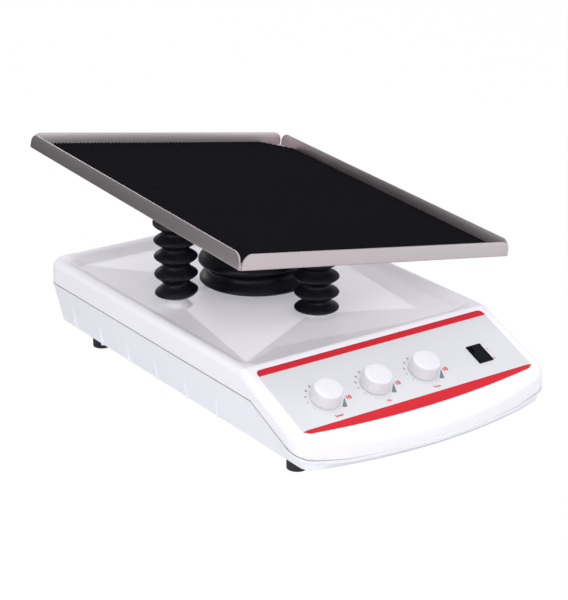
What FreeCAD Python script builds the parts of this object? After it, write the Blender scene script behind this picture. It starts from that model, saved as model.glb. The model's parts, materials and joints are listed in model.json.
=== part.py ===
import FreeCAD, Part
import math
import os

# Three-dimensional (waving) shaker: a low moulded base with a sloping control panel, and a
# ribbed-mat tray that rocks about two crossed axes on a universal joint at its centre.
# Two push rods, one at the left arm and one at the front arm, tip the tray.
# Millimetres. The origin lies on the bench at the centre of the four feet,
# +X to the right of the panel, +Y to the back, +Z up.
# The tray is modelled in the tilted position that the joints count as zero.

V = FreeCAD.Vector
X_AXIS = V(1, 0, 0)
Y_AXIS = V(0, 1, 0)
Z_AXIS = V(0, 0, 1)

# Fits and small gaps
RUNNING_CLEARANCE = 0.05
FIT_CLEARANCE = 0.05
LOOSE_CLEARANCE = 0.3

# Base case, as seen from above
BASE_WIDTH = 272.0
BASE_BACK = 225.0
BASE_FRONT = 220.5
FRONT_BULGE = 22.0
CORNER_RADIUS = 20.0
# Base case, as seen from the side
FOOT_HEIGHT = 16.0
COVER_TOP = 78.0
SEAM_HEIGHT = 55.4
SEAM_FRONT_HEIGHT = 22.0
SEAM_BEND_Y = -131.5
PANEL_ANGLE = 22.54
PANEL_TOP_Y = -120.3
PANEL_TOP_Z = 75.9
WALL = 3.0
COVER_DRAFT = 2.0
PAN_DRAFT = 12.0
COVER_EDGE_RADIUS = 7.0
CREASE_RADIUS = 6.0
SEAM_GAP = 0.8
SEAM_GAP_DEPTH = 1.5
FLANGE_THICKNESS = 2.5
# Sunk deck on top of the cover
DECK_DEPTH = 4.8
DECK_SIDE_MARGIN = 10.4
DECK_BACK_MARGIN = 20.0
DECK_FRONT_MARGIN = 3.2
DECK_SLOPE_WIDTH = 10.6
DECK_CORNER_RADIUS = 14.0
DECK_FLOOR_RADIUS = 7.0
# Flutes on the pan's long sides
RIB_COUNT = 6
RIB_PITCH = 50.0
RIB_FIRST_Y = -70.0
RIB_TOP = 43.0
RIB_HALF_WIDTH = 3.6
RIB_PROUD = 2.4
# Feet
FOOT_SIDE_MARGIN = 25.5
FOOT_Y = 163.0
FOOT_RADIUS = 9.0
FOOT_STUD_SEAT = 11.0
FOOT_STUD_PLATE_RADIUS = 6.0
FOOT_STUD_PLATE = 1.5
# Screws and the moulded bosses that they enter
SCREW_RADIUS = 2.0
SCREW_HEAD_RADIUS = 3.6
SCREW_HEAD_HEIGHT = 2.4
BOSS_RADIUS = 5.5
FOOT_BOSS_TOP = 27.0
CASE_SCREW_SIDE_MARGIN = 18.0
CASE_SCREW_BACK_MARGIN = 22.0
CASE_SCREW_FRONT_Y = -118.0
CASE_BOSS_MEET_Z = 45.0
CASE_SCREW_SHOULDER_Z = 38.0
CASE_SCREW_LENGTH = 19.0
# Chassis plate
CHASSIS_Z = 28.0
CHASSIS_THICKNESS = 2.0
CHASSIS_SIDE_MARGIN = 6.2
CHASSIS_FRONT = -92.0
CHASSIS_BACK = 192.0
CHASSIS_CORNER = 8.0
CHASSIS_SCREW_MARGIN = 10.0
CHASSIS_SCREW_YS = (-80.0, 128.0, 180.0)
CHASSIS_SCREW_DEPTH = 6.0

# Universal joint that carries the tray
PIVOT_Y = 54.1
PIVOT_Z = 136.2
TILT_X = 2.82
TILT_Y = 9.28
TRUNNION_RADIUS = 4.0
TRUNNION_REACH = 22.0
TRUNNION_DEPTH = 8.0
SPIDER_HALF = 12.5
SPIDER_HALF_HEIGHT = 8.0
EAR_INNER = 15.0
EAR_OUTER = 22.0
EAR_RADIUS = 9.0
BUSH_RADIUS = 5.5
BUSH_FLANGE_RADIUS = 7.5
BUSH_FLANGE = 1.5
FORK_BASE_TOP = -18.0
FORK_BASE_THICKNESS = 8.0
POST_RADIUS = 13.0
POST_FLANGE_RADIUS = 32.0
POST_FLANGE_THICKNESS = 6.0
POST_BOLT_CIRCLE_RADIUS = 25.0
POST_HOLE_CLEARANCE = 9.0

# Tray, in its own frame with the pivot as origin
TRAY_WIDTH = 298.0
TRAY_LENGTH = 360.6
TRAY_UNDERSIDE = 20.3
TRAY_SHEET = 1.5
LIP_HEIGHT = 14.15
LIP_END_RADIUS = 9.0
LIP_END_GAP = 2.0
TRAY_BEND_RADIUS = 1.4
MAT_THICKNESS = 3.0
MAT_CORNER_CUT = 25.0
MAT_RIB_HEIGHT = 0.8
MAT_RIB_WIDTH = 2.0
MAT_RIB_PITCH = 15.9
# Bracket and yoke under the tray
BRACKET_THICKNESS = 4.0
BRACKET_DISC_RADIUS = 53.0
BRACKET_ARM_WIDTH = 28.0
ARM_LENGTH = 93.5
YOKE_HALF_X = 18.0
YOKE_HALF_Y = 27.0
TRAY_SCREW_CIRCLE = 44.0
TRAY_SCREW_COUNT = 6

# Push rods, their ball ends and sockets
ROD_INSET = 1.7
ROD_RADIUS = 6.0
BALL_RADIUS = 5.5
BALL_HEIGHT = 9.5
BALL_NECK_RADIUS = 2.6
BALL_NECK_DEPTH = 8.0
SOCKET_PLAY = 6.5
SOCKET_WALL = 1.5
SOCKET_RIM = 8.2
CAP_RADIUS = 20.5
CAP_THICKNESS = 2.5
CAP_BELOW_BALL = 6.5
LEFT_TRAVEL_DOWN = 35.4
LEFT_TRAVEL_UP = 5.3
FRONT_TRAVEL_DOWN = 15.8
FRONT_TRAVEL_UP = 24.9
# Rack and pinion
MODULE = 1.0
PINION_TEETH = 12
PINION_WIDTH = 8.0
PINION_HEIGHT = 63.0
PRESSURE_ANGLE = 20.0
ADDENDUM = 0.7
DEDENDUM = 0.95
BACKLASH = 0.14
MESH_SPREAD = 0.15
RACK_PITCH_LINE = 4.6
RACK_RUN_OUT = 4.0
PINION_SHAFT_RADIUS = 2.5
# Guide bush in the deck: the left one has a tall collar that lifts its bellows
GUIDE_RADIUS = 8.5
COLLAR_RADIUS = 10.0
LEFT_COLLAR = 6.8
FRONT_COLLAR = 1.2
FLARE_RADIUS = 15.0
FLARE_HEIGHT = 4.4
GUIDE_TOP = 84.0
# Gear motor and its bracket
MOTOR_BRACKET_GAP = 2.6
MOTOR_BRACKET_SHEET = 1.5
MOTOR_BRACKET_FOOT = 16.0
GEARBOX_WIDTH = 36.0
GEARBOX_DEPTH = 14.0
GEARBOX_ABOVE_SHAFT = 6.5
MOTOR_RADIUS = 15.0
MOTOR_LENGTH = 34.0
MOTOR_BELOW_SHAFT = 16.0

# Bellows
BELLOWS_WALL = 1.2
SMALL_VALLEY_RADIUS = 11.5
SMALL_PEAK_RADIUS = 20.6
SMALL_FOLDS = 4
SMALL_RIM = 2.6
SMALL_VALLEY = 2.8
LEFT_END_FOLD = 0.5
FRONT_END_FOLD = 0.0
BIG_NECK_RADIUS = 26.0
BIG_NECK_HEIGHT = 1.2
BIG_VALLEY_RADIUS = 46.5
BIG_PEAK_RADIUS = 55.5
BIG_FOLDS = 4
BIG_RIM_SHARE = 0.18

# Control panel, in the panel's own frame: x to the right, s down the slope, n outward
PANEL_SIDE_MARGIN = 12.0
PANEL_SIDE_LENGTH = 79.0
PANEL_MID_LENGTH = 87.0
PANEL_CORNER = 5.0
OVERLAY_THICKNESS = 0.5
OVERLAY_RECESS = 0.4
KNOB_FIRST_X = -83.7
KNOB_PITCH = 52.3
CONTROL_S = 49.0
KNOB_BASE_RADIUS = 13.7
KNOB_TOP_RADIUS = 12.8
KNOB_HEIGHT = 13.5
KNOB_GAP = 0.8
KNOB_EDGE_RADIUS = 1.2
KNOB_SKIRT_DEPTH = 4.0
KNOB_SKIRT_WALL = 1.8
POT_BODY_RADIUS = 8.0
POT_BODY_DEPTH = 10.0
POT_NECK_RADIUS = 4.5
POT_NECK_TOP = 1.0
SHAFT_RADIUS = 3.0
SHAFT_TOP = 10.0
SHAFT_DEPTH_IN_POT = 8.0
SWITCH_X = 85.0
BEZEL_WIDTH = 15.5
BEZEL_LENGTH = 21.5
BEZEL_HEIGHT = 1.8
BEZEL_WALL = 1.4
SWITCH_BODY_WIDTH = 13.0
SWITCH_BODY_LENGTH = 19.4
SWITCH_DEPTH = 14.0
SWITCH_CAVITY_DEPTH = 8.0
ROCKER_PIVOT_N = -1.0
ROCKER_TILT = 9.0
BOARD_THICKNESS = 1.6
BOARD_LEFT = -108.0
BOARD_RIGHT = 60.0
BOARD_TOP_S = 30.0
BOARD_LOW_S = 68.0
CHIP_HALF_WIDTH = 9.0
CHIP_HALF_LENGTH = 4.0
CHIP_HEIGHT = 3.5
HEADER_WIDTH = 12.0
HEADER_HALF_LENGTH = 8.0
HEADER_HEIGHT = 7.0
HEADER_MARGIN = 4.0
SOLDER = 0.5

# Power inlet in the pan's back wall, and the supply board
INLET_X = -80.0
INLET_Z = 37.0
INLET_FACE_Y = 221.5
INLET_BEZEL_WIDTH = 31.0
INLET_BEZEL_HEIGHT = 25.0
INLET_BEZEL = 3.0
INLET_BODY_WIDTH = 27.0
INLET_BODY_HEIGHT = 20.0
INLET_BODY_DEPTH = 18.0
INLET_CAVITY_WIDTH = 24.4
INLET_CAVITY_HEIGHT = 16.4
INLET_CAVITY_DEPTH = 17.0
INLET_PIN_LENGTH = 11.0
INLET_PAD_MARGIN = 4.0
SUPPLY_SIDE_MARGIN = 49.0
SUPPLY_Y = 145.0
SUPPLY_WIDTH = 66.0
SUPPLY_LENGTH = 78.0
SPACER_HEIGHT = 5.0
SPACER_RADIUS = 3.0
SPACER_INSET = 5.0
CORE_HALF_WIDTH = 16.0
CORE_HALF_LENGTH = 14.0
CORE_HEIGHT = 22.0
WINDING_HALF_WIDTH = 10.0
WINDING_HALF_LENGTH = 18.0
WINDING_HEIGHT = 18.0
CAPACITOR_RADIUS = 7.0
CAPACITOR_HEIGHT = 24.0
CAPACITOR_X = 23.0
CAPACITOR_YS = (-24.0, -6.0)
HEAT_SINK_X = -26.0
HEAT_SINK_HALF_WIDTH = 2.0
HEAT_SINK_HALF_LENGTH = 30.0
HEAT_SINK_HEIGHT = 20.0
FUSE_RADIUS = 3.0
FUSE_LENGTH = 20.0
FUSE_X = 8.0
FUSE_Y = 30.0

# Values that follow from the dimensions above
HALF_WIDTH = BASE_WIDTH / 2
FOOT_X = HALF_WIDTH - FOOT_SIDE_MARGIN
CASE_SCREW_X = HALF_WIDTH - CASE_SCREW_SIDE_MARGIN
CASE_SCREW_BACK_Y = BASE_BACK - CASE_SCREW_BACK_MARGIN
PANEL_HALF_WIDTH = HALF_WIDTH - PANEL_SIDE_MARGIN
ROD_OFFSET = ARM_LENGTH - ROD_INSET
CHASSIS_HALF_WIDTH = ROD_OFFSET + ROD_RADIUS + CHASSIS_SIDE_MARGIN
CHASSIS_SCREW_X = CHASSIS_HALF_WIDTH - CHASSIS_SCREW_MARGIN
SUPPLY_X = CHASSIS_HALF_WIDTH - SUPPLY_SIDE_MARGIN
DECK_Z = COVER_TOP - DECK_DEPTH
DECK_UNDERSIDE = DECK_Z - WALL
PAN_FLOOR = FOOT_HEIGHT + WALL
CHASSIS_TOP = CHASSIS_Z + CHASSIS_THICKNESS
FRONT_RADIUS = (HALF_WIDTH ** 2 + FRONT_BULGE ** 2) / (2 * FRONT_BULGE)
FRONT_CENTRE_Y = FRONT_RADIUS - BASE_FRONT
SLOPE = math.tan(math.radians(PANEL_ANGLE))
SLOPE_COS = math.cos(math.radians(PANEL_ANGLE))
SLOPE_SIN = math.sin(math.radians(PANEL_ANGLE))
SEAM_LOW_Y = SEAM_BEND_Y - (SEAM_HEIGHT - SEAM_FRONT_HEIGHT) / SLOPE
CREASE_Y = PANEL_TOP_Y + (COVER_TOP - PANEL_TOP_Z) / SLOPE
REACH = BASE_BACK + BASE_FRONT
PIVOT = V(0, PIVOT_Y, PIVOT_Z)
PINION_RADIUS = MODULE * PINION_TEETH / 2
PINION_X = RACK_PITCH_LINE + PINION_RADIUS + MESH_SPREAD
BRACKET_UNDERSIDE = TRAY_UNDERSIDE - BRACKET_THICKNESS
MAT_UNDERSIDE = TRAY_UNDERSIDE + TRAY_SHEET
KNOB_XS = [KNOB_FIRST_X + KNOB_PITCH * k for k in range(3)]
KNOB_NAMES = ("speed", "tilt", "time")
INSIDE = -WALL
POT_BODY_TOP = INSIDE
POT_BODY_BOTTOM = INSIDE - POT_BODY_DEPTH


# General shapes

def box(x0, x1, y0, y1, z0, z1):
    return Part.makeBox(x1 - x0, y1 - y0, z1 - z0, V(x0, y0, z0))


def rod(radius, base, direction, length):
    return Part.makeCylinder(radius, length, base, direction)


def rod_z(radius, x, y, z0, z1):
    return rod(radius, V(x, y, z0), Z_AXIS, z1 - z0)


def ring_z(outer, inner, x, y, z0, z1):
    return rod_z(outer, x, y, z0, z1).cut(rod_z(inner, x, y, z0, z1))


def joined(shapes):
    result = shapes[0]
    if len(shapes) > 1:
        result = shapes[0].multiFuse(shapes[1:])
    return result.removeSplitter()


def rounded_rectangle(half_x, half_y, radius, z, centre_x=0.0, centre_y=0.0):
    corners = [(1, 1, 0), (-1, 1, 90), (-1, -1, 180), (1, -1, 270)]
    edges = []
    ends = []
    for sign_x, sign_y, start in corners:
        middle = V(centre_x + sign_x * (half_x - radius), centre_y + sign_y * (half_y - radius), z)
        points = []
        for turn in (0, 45, 90):
            angle = math.radians(start + turn)
            points.append(middle + V(math.cos(angle), math.sin(angle), 0) * radius)
        ends.append(points)
    for k, points in enumerate(ends):
        edges.append(Part.Arc(*points).toShape())
        edges.append(Part.LineSegment(points[2], ends[(k + 1) % 4][0]).toShape())
    return Part.Wire(edges)


def rounded_plate(half_x, half_y, radius, z0, z1, centre_x=0.0, centre_y=0.0):
    wire = rounded_rectangle(half_x, half_y, radius, z0, centre_x, centre_y)
    return Part.Face(wire).extrude(V(0, 0, z1 - z0))


def revolved(profile, x, y):
    points = [V(x + radius, y, z) for radius, z in profile]
    face = Part.Face(Part.makePolygon(points + points[:1]))
    return face.revolve(V(x, y, 0), Z_AXIS, 360)


def edges_where(shape, test):
    return [edge for edge in shape.Edges if test(edge)]


def placed(shape, placement):
    copy = shape.copy()
    copy.Placement = placement.multiply(copy.Placement)
    return copy


# Frames

def on_panel(shape):
    turn = FreeCAD.Rotation(X_AXIS, PANEL_ANGLE)
    return placed(shape, FreeCAD.Placement(V(0, PANEL_TOP_Y, PANEL_TOP_Z), turn))


def with_spider(shape):
    return placed(shape, FreeCAD.Placement(PIVOT, FreeCAD.Rotation(X_AXIS, TILT_X)))


def tray_turn(share):
    about_x = FreeCAD.Rotation(X_AXIS, TILT_X * share)
    return about_x.multiply(FreeCAD.Rotation(Y_AXIS, TILT_Y * share))


def with_tray(shape):
    return placed(shape, FreeCAD.Placement(PIVOT, tray_turn(1.0)))


def at_left_rod(shape):
    return placed(shape, FreeCAD.Placement(V(-ROD_OFFSET, PIVOT_Y, 0), FreeCAD.Rotation()))


def at_front_rod(shape):
    turn = FreeCAD.Rotation(Z_AXIS, -90)
    return placed(shape, FreeCAD.Placement(V(0, PIVOT_Y - ROD_OFFSET, 0), turn))


# Base case

def outline(inset, z, front_inset):
    half = HALF_WIDTH - inset
    back = BASE_BACK - inset
    corner = CORNER_RADIUS - inset
    front = FRONT_RADIUS - front_inset
    corner_x = half - corner
    corner_y = FRONT_CENTRE_Y - math.sqrt((front - corner) ** 2 - corner_x ** 2)
    diagonal = corner * math.sqrt(0.5)
    toward = V(corner_x, corner_y - FRONT_CENTRE_Y, 0).normalize()
    touch = V(0, FRONT_CENTRE_Y, 0) + toward * front
    between = (V(1, 0, 0) + toward).normalize()
    bend = V(corner_x, corner_y, 0) + between * corner
    right = [V(touch.x, touch.y, z), V(bend.x, bend.y, z), V(half, corner_y, z)]
    right_back = [V(half, back - corner, z), V(corner_x + diagonal, back - corner + diagonal, z), V(corner_x, back, z)]
    left_back = [V(-p.x, p.y, z) for p in reversed(right_back)]
    left = [V(-p.x, p.y, z) for p in reversed(right)]
    edges = [
        Part.Arc(*right).toShape(),
        Part.LineSegment(right[2], right_back[0]).toShape(),
        Part.Arc(*right_back).toShape(),
        Part.LineSegment(right_back[2], left_back[0]).toShape(),
        Part.Arc(*left_back).toShape(),
        Part.LineSegment(left_back[2], left[0]).toShape(),
        Part.Arc(*left).toShape(),
        Part.Arc(left[2], V(0, FRONT_CENTRE_Y - front, z), right[0]).toShape(),
    ]
    return Part.Wire(edges)


def cover_inset(z):
    return (z - SEAM_HEIGHT) * math.tan(math.radians(COVER_DRAFT))


def pan_inset(z):
    return (SEAM_HEIGHT - z) * math.tan(math.radians(PAN_DRAFT))


def pan_front_inset(z):
    return (SEAM_FRONT_HEIGHT - z) * math.tan(math.radians(PAN_DRAFT))


def tapered(inset_at, extra, z0, z1, front_inset_at=None):
    front_inset_at = front_inset_at or inset_at
    wires = [outline(inset_at(z) + extra, z, front_inset_at(z) + extra) for z in (z0, z1)]
    return Part.makeLoft(wires, True, True)


def pan_body(extra, z0, z1):
    return tapered(pan_inset, extra, z0, z1, pan_front_inset)


def slope_z(y, depth):
    return PANEL_TOP_Z + (y - PANEL_TOP_Y) * SLOPE - depth / SLOPE_COS


def seam_points(lift):
    return [
        (REACH, SEAM_HEIGHT + lift),
        (SEAM_BEND_Y, SEAM_HEIGHT + lift),
        (SEAM_LOW_Y, SEAM_FRONT_HEIGHT + lift),
        (-REACH, SEAM_FRONT_HEIGHT + lift),
    ]


def side_prism(points):
    corners = [V(-REACH, y, z) for y, z in points]
    return Part.Face(Part.makePolygon(corners + corners[:1])).extrude(V(2 * REACH, 0, 0))


def between_seam_and_top(top, depth, lift):
    crease = PANEL_TOP_Y + (top - PANEL_TOP_Z + depth / SLOPE_COS) / SLOPE
    roof = [(-REACH, slope_z(-REACH, depth)), (crease, top), (REACH, top)]
    # far in front the slope runs under the seam line, so the profile is cut where they cross
    cross = PANEL_TOP_Y + (SEAM_FRONT_HEIGHT + lift - PANEL_TOP_Z + depth / SLOPE_COS) / SLOPE
    floor = seam_points(lift)[:3] + [(cross, SEAM_FRONT_HEIGHT + lift)]
    return side_prism(floor + roof[1:])


def deck_pocket(grow, drop):
    half_x = BASE_WIDTH / 2 - DECK_SIDE_MARGIN + grow
    back = BASE_BACK - DECK_BACK_MARGIN + grow
    front = CREASE_Y + DECK_FRONT_MARGIN - grow
    middle = (back + front) / 2
    half_y = (back - front) / 2
    low_half_x = half_x - DECK_SLOPE_WIDTH
    low_half_y = half_y - DECK_SLOPE_WIDTH
    low = rounded_rectangle(low_half_x, low_half_y, DECK_FLOOR_RADIUS, DECK_Z - drop, 0, middle)
    high = rounded_rectangle(half_x, half_y, DECK_CORNER_RADIUS, COVER_TOP - drop, 0, middle)
    return Part.makeLoft([low, high], True, True)


def case_screw_places():
    return [(side * CASE_SCREW_X, y) for side in (-1, 1) for y in (CASE_SCREW_FRONT_Y, CASE_SCREW_BACK_Y)]


def foot_places():
    return [(side * FOOT_X, end * FOOT_Y) for side in (-1, 1) for end in (-1, 1)]


def chassis_screw_places():
    return [(side * CHASSIS_SCREW_X, y) for side in (-1, 1) for y in CHASSIS_SCREW_YS]


def panel_outline(grow, n):
    half = PANEL_HALF_WIDTH + grow
    side = PANEL_SIDE_LENGTH + grow
    middle = PANEL_MID_LENGTH + grow
    top = -grow
    sag = middle - side
    low_radius = (half ** 2 + sag ** 2) / (2 * sag)
    corner_mid = PANEL_CORNER * (1 - math.sqrt(0.5))
    right_arc = [V(half - PANEL_CORNER, -top, n), V(half - corner_mid, -top - corner_mid, n), V(half, -top - PANEL_CORNER, n)]
    left_arc = [V(-p.x, p.y, p.z) for p in reversed(right_arc)]
    low_x = half - PANEL_CORNER
    low_s = middle - low_radius + math.sqrt(low_radius ** 2 - low_x ** 2)
    low_right = V(low_x, -low_s, n)
    low_left = V(-low_x, -low_s, n)
    edges = [
        Part.LineSegment(left_arc[2], right_arc[0]).toShape(),
        Part.Arc(*right_arc).toShape(),
        Part.LineSegment(right_arc[2], V(half, -side + PANEL_CORNER / 2, n)).toShape(),
        Part.LineSegment(V(half, -side + PANEL_CORNER / 2, n), low_right).toShape(),
        Part.Arc(low_right, V(0, -middle, n), low_left).toShape(),
        Part.LineSegment(low_left, V(-half, -side + PANEL_CORNER / 2, n)).toShape(),
        Part.LineSegment(V(-half, -side + PANEL_CORNER / 2, n), left_arc[0]).toShape(),
        Part.Arc(*left_arc).toShape(),
    ]
    return Part.Wire(edges)


def panel_holes(n0, n1, clearance):
    shapes = [rod_z(POT_NECK_RADIUS + clearance, x, -CONTROL_S, n0, n1) for x in KNOB_XS]
    half_x = SWITCH_BODY_WIDTH / 2 + clearance
    half_s = SWITCH_BODY_LENGTH / 2 + clearance
    shapes.append(box(SWITCH_X - half_x, SWITCH_X + half_x, -CONTROL_S - half_s, -CONTROL_S + half_s, n0, n1))
    return shapes


def make_cover():
    above = between_seam_and_top(COVER_TOP, 0.0, SEAM_GAP)
    outer = tapered(cover_inset, 0.0, 0.0, COVER_TOP + WALL).common(above)

    def is_crease(edge):
        return all(abs(v.Z - COVER_TOP) < 0.01 and abs(v.Y - CREASE_Y) < 0.01 for v in edge.Vertexes)

    outer = outer.makeFillet(CREASE_RADIUS, edges_where(outer, is_crease))

    def is_rim(edge):
        start = edge.Vertexes[0]
        end = edge.Vertexes[-1]
        middle = edge.valueAt((edge.FirstParameter + edge.LastParameter) / 2)
        wide = abs(start.X - end.X) > BASE_WIDTH / 2 and -BASE_FRONT + CORNER_RADIUS < middle.y < BASE_BACK - CORNER_RADIUS
        roof = min(COVER_TOP, slope_z(middle.y, 0.0))
        return not wide and abs(middle.z - roof) < 0.3

    outer = outer.makeFillet(COVER_EDGE_RADIUS, edges_where(outer, is_rim))
    tongue = tapered(cover_inset, SEAM_GAP_DEPTH, 0.0, COVER_TOP - WALL)
    tongue = tongue.common(side_prism(seam_points(0.0) + list(reversed(seam_points(SEAM_GAP + 1.0)))))
    shell = joined([outer, tongue])
    hollow = tapered(cover_inset, WALL, 0.0, COVER_TOP).common(between_seam_and_top(COVER_TOP - WALL, WALL, -1.0))
    shell = shell.cut(hollow.cut(deck_pocket(WALL, WALL)))
    bosses = [rod_z(BOSS_RADIUS - 1.0, x, y, CASE_BOSS_MEET_Z, COVER_TOP) for x, y in case_screw_places()]
    bosses = [boss.common(between_seam_and_top(COVER_TOP - WALL / 2, WALL / 2, -1.0)) for boss in bosses]
    shell = joined([shell] + bosses)
    cuts = [deck_pocket(0.0, 0.0), rod_z(POST_RADIUS + POST_HOLE_CLEARANCE, 0, PIVOT_Y, DECK_UNDERSIDE, COVER_TOP)]
    for x, y in ((-ROD_OFFSET, PIVOT_Y), (0, PIVOT_Y - ROD_OFFSET)):
        cuts.append(rod_z(GUIDE_RADIUS + FIT_CLEARANCE, x, y, DECK_UNDERSIDE - 1, COVER_TOP))
    for x, y in case_screw_places():
        top = CASE_SCREW_SHOULDER_Z + CASE_SCREW_LENGTH + 1
        cuts.append(rod_z(SCREW_RADIUS + FIT_CLEARANCE, x, y, CASE_BOSS_MEET_Z, top))
    overlay_seat = Part.Face(panel_outline(LOOSE_CLEARANCE, -OVERLAY_RECESS)).extrude(V(0, 0, OVERLAY_RECESS + 1))
    cuts.append(on_panel(overlay_seat))
    cuts.extend(on_panel(hole) for hole in panel_holes(2 * INSIDE, 1.0, FIT_CLEARANCE))
    return shell.cut(joined(cuts[:1]).multiFuse(cuts[1:]))


def side_rib(side, y):
    wires = []
    for z, share in ((FOOT_HEIGHT, 1.0), (RIB_TOP, 0.12)):
        wall_x = HALF_WIDTH - pan_inset(z)
        proud = RIB_PROUD * (share - 0.12) / 0.88 + 0.02
        half = RIB_HALF_WIDTH * share
        points = [V(side * (wall_x - 1.0), y - half, z), V(side * (wall_x + proud), y, z), V(side * (wall_x - 1.0), y + half, z)]
        wires.append(Part.makePolygon(points + points[:1]))
    return Part.makeLoft(wires, True, True)


def make_pan():
    below = side_prism(seam_points(0.0) + [(-REACH, 0.0), (REACH, 0.0)])
    body = pan_body(0.0, FOOT_HEIGHT, SEAM_HEIGHT + WALL).common(below)
    flange = tapered(cover_inset, 0.0, 0.0, SEAM_HEIGHT + WALL)
    flange = flange.common(side_prism(seam_points(0.0) + list(reversed(seam_points(-FLANGE_THICKNESS)))))
    ribs = [side_rib(side, RIB_FIRST_Y + RIB_PITCH * k) for side in (-1, 1) for k in range(RIB_COUNT)]
    pad_half_x = INLET_BEZEL_WIDTH / 2 + INLET_PAD_MARGIN
    pad_half_z = INLET_BEZEL_HEIGHT / 2 + INLET_PAD_MARGIN
    pad = box(INLET_X - pad_half_x, INLET_X + pad_half_x, INLET_FACE_Y - 3 * WALL, INLET_FACE_Y, INLET_Z - pad_half_z, INLET_Z + pad_half_z)
    hollow = pan_body(WALL, PAN_FLOOR, SEAM_HEIGHT + 2 * WALL)
    shell = joined([body, flange] + ribs).cut(hollow)
    inner_pad = pad.common(pan_body(0.2, PAN_FLOOR, SEAM_HEIGHT + WALL))
    pad_front = box(INLET_X - pad_half_x, INLET_X + pad_half_x, INLET_FACE_Y, REACH, INLET_Z - pad_half_z, INLET_Z + pad_half_z)
    shell = joined([shell, pad, inner_pad]).cut(pad_front)
    bosses = []
    holes = []
    for x, y in foot_places():
        bosses.append(rod_z(BOSS_RADIUS, x, y, PAN_FLOOR - 1, FOOT_BOSS_TOP))
        holes.append(rod_z(SCREW_RADIUS + FIT_CLEARANCE, x, y, 0, FOOT_BOSS_TOP))
    for x, y in chassis_screw_places():
        bosses.append(rod_z(BOSS_RADIUS, x, y, PAN_FLOOR - 1, CHASSIS_Z))
        holes.append(rod_z(SCREW_RADIUS + FIT_CLEARANCE, x, y, CHASSIS_Z - CHASSIS_SCREW_DEPTH, CHASSIS_Z))
    for x, y in case_screw_places():
        bosses.append(rod_z(BOSS_RADIUS, x, y, PAN_FLOOR - 1, CASE_BOSS_MEET_Z))
        holes.append(rod_z(SCREW_RADIUS + LOOSE_CLEARANCE, x, y, 0, CASE_BOSS_MEET_Z))
        holes.append(rod_z(SCREW_HEAD_RADIUS + LOOSE_CLEARANCE, x, y, 0, CASE_SCREW_SHOULDER_Z))
    half_x = INLET_BODY_WIDTH / 2 + FIT_CLEARANCE
    half_z = INLET_BODY_HEIGHT / 2 + FIT_CLEARANCE
    holes.append(box(INLET_X - half_x, INLET_X + half_x, INLET_FACE_Y - 5 * WALL, REACH, INLET_Z - half_z, INLET_Z + half_z))
    return joined([shell] + bosses).cut(holes[0].multiFuse(holes[1:]))


def make_feet():
    """Round pads, each moulded round the plate of its stud."""
    feet = []
    for x, y in foot_places():
        pad = rod_z(FOOT_RADIUS, x, y, 0, FOOT_HEIGHT)
        feet.append(pad.cut(foot_stud(x, y, FIT_CLEARANCE)))
    return feet


def foot_stud(x, y, grow):
    low = FOOT_STUD_SEAT - FOOT_STUD_PLATE
    plate = rod_z(FOOT_STUD_PLATE_RADIUS + grow, x, y, low, FOOT_STUD_SEAT + grow)
    return joined([plate, rod_z(SCREW_RADIUS + grow, x, y, FOOT_STUD_SEAT - 1, FOOT_BOSS_TOP)])


def screw_up(x, y, seat_z, length):
    head = rod_z(SCREW_HEAD_RADIUS, x, y, seat_z - SCREW_HEAD_HEIGHT, seat_z)
    return joined([head, rod_z(SCREW_RADIUS, x, y, seat_z - 1, seat_z + length)])


def screw_down(x, y, seat_z, length):
    head = rod_z(SCREW_HEAD_RADIUS, x, y, seat_z, seat_z + SCREW_HEAD_HEIGHT)
    return joined([head, rod_z(SCREW_RADIUS, x, y, seat_z - length, seat_z + 1)])


def make_chassis():
    middle = (CHASSIS_FRONT + CHASSIS_BACK) / 2
    half_y = (CHASSIS_BACK - CHASSIS_FRONT) / 2
    plate = rounded_plate(CHASSIS_HALF_WIDTH, half_y, CHASSIS_CORNER, CHASSIS_Z, CHASSIS_TOP, 0, middle)
    holes = [rod_z(SCREW_RADIUS + FIT_CLEARANCE, x, y, CHASSIS_Z, CHASSIS_TOP) for x, y in chassis_screw_places()]
    holes += [rod_z(SCREW_RADIUS + FIT_CLEARANCE, x, y, CHASSIS_Z, CHASSIS_TOP) for x, y in post_bolt_places()]
    for x, y in ((-ROD_OFFSET, PIVOT_Y), (0, PIVOT_Y - ROD_OFFSET)):
        holes.append(rod_z(ROD_RADIUS + 3 * LOOSE_CLEARANCE, x, y, CHASSIS_Z, CHASSIS_TOP))
    return plate.cut(holes[0].multiFuse(holes[1:]))


# Universal joint

def post_bolt_places():
    places = []
    for k in range(4):
        angle = math.radians(45 + 90 * k)
        places.append((POST_BOLT_CIRCLE_RADIUS * math.cos(angle), PIVOT_Y + POST_BOLT_CIRCLE_RADIUS * math.sin(angle)))
    return places


def fork_ear(side, low):
    """One ear of a fork about the X axis through the origin, hanging down to low."""
    start = side * EAR_INNER if side > 0 else -EAR_OUTER
    depth = EAR_OUTER - EAR_INNER
    round_end = rod(EAR_RADIUS, V(start, 0, 0), X_AXIS, depth)
    stem = box(start, start + depth, -EAR_RADIUS, EAR_RADIUS, low, 0)
    bore = rod(BUSH_RADIUS, V(start, 0, 0), X_AXIS, depth)
    return round_end.fuse(stem).removeSplitter().cut(bore)


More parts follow.
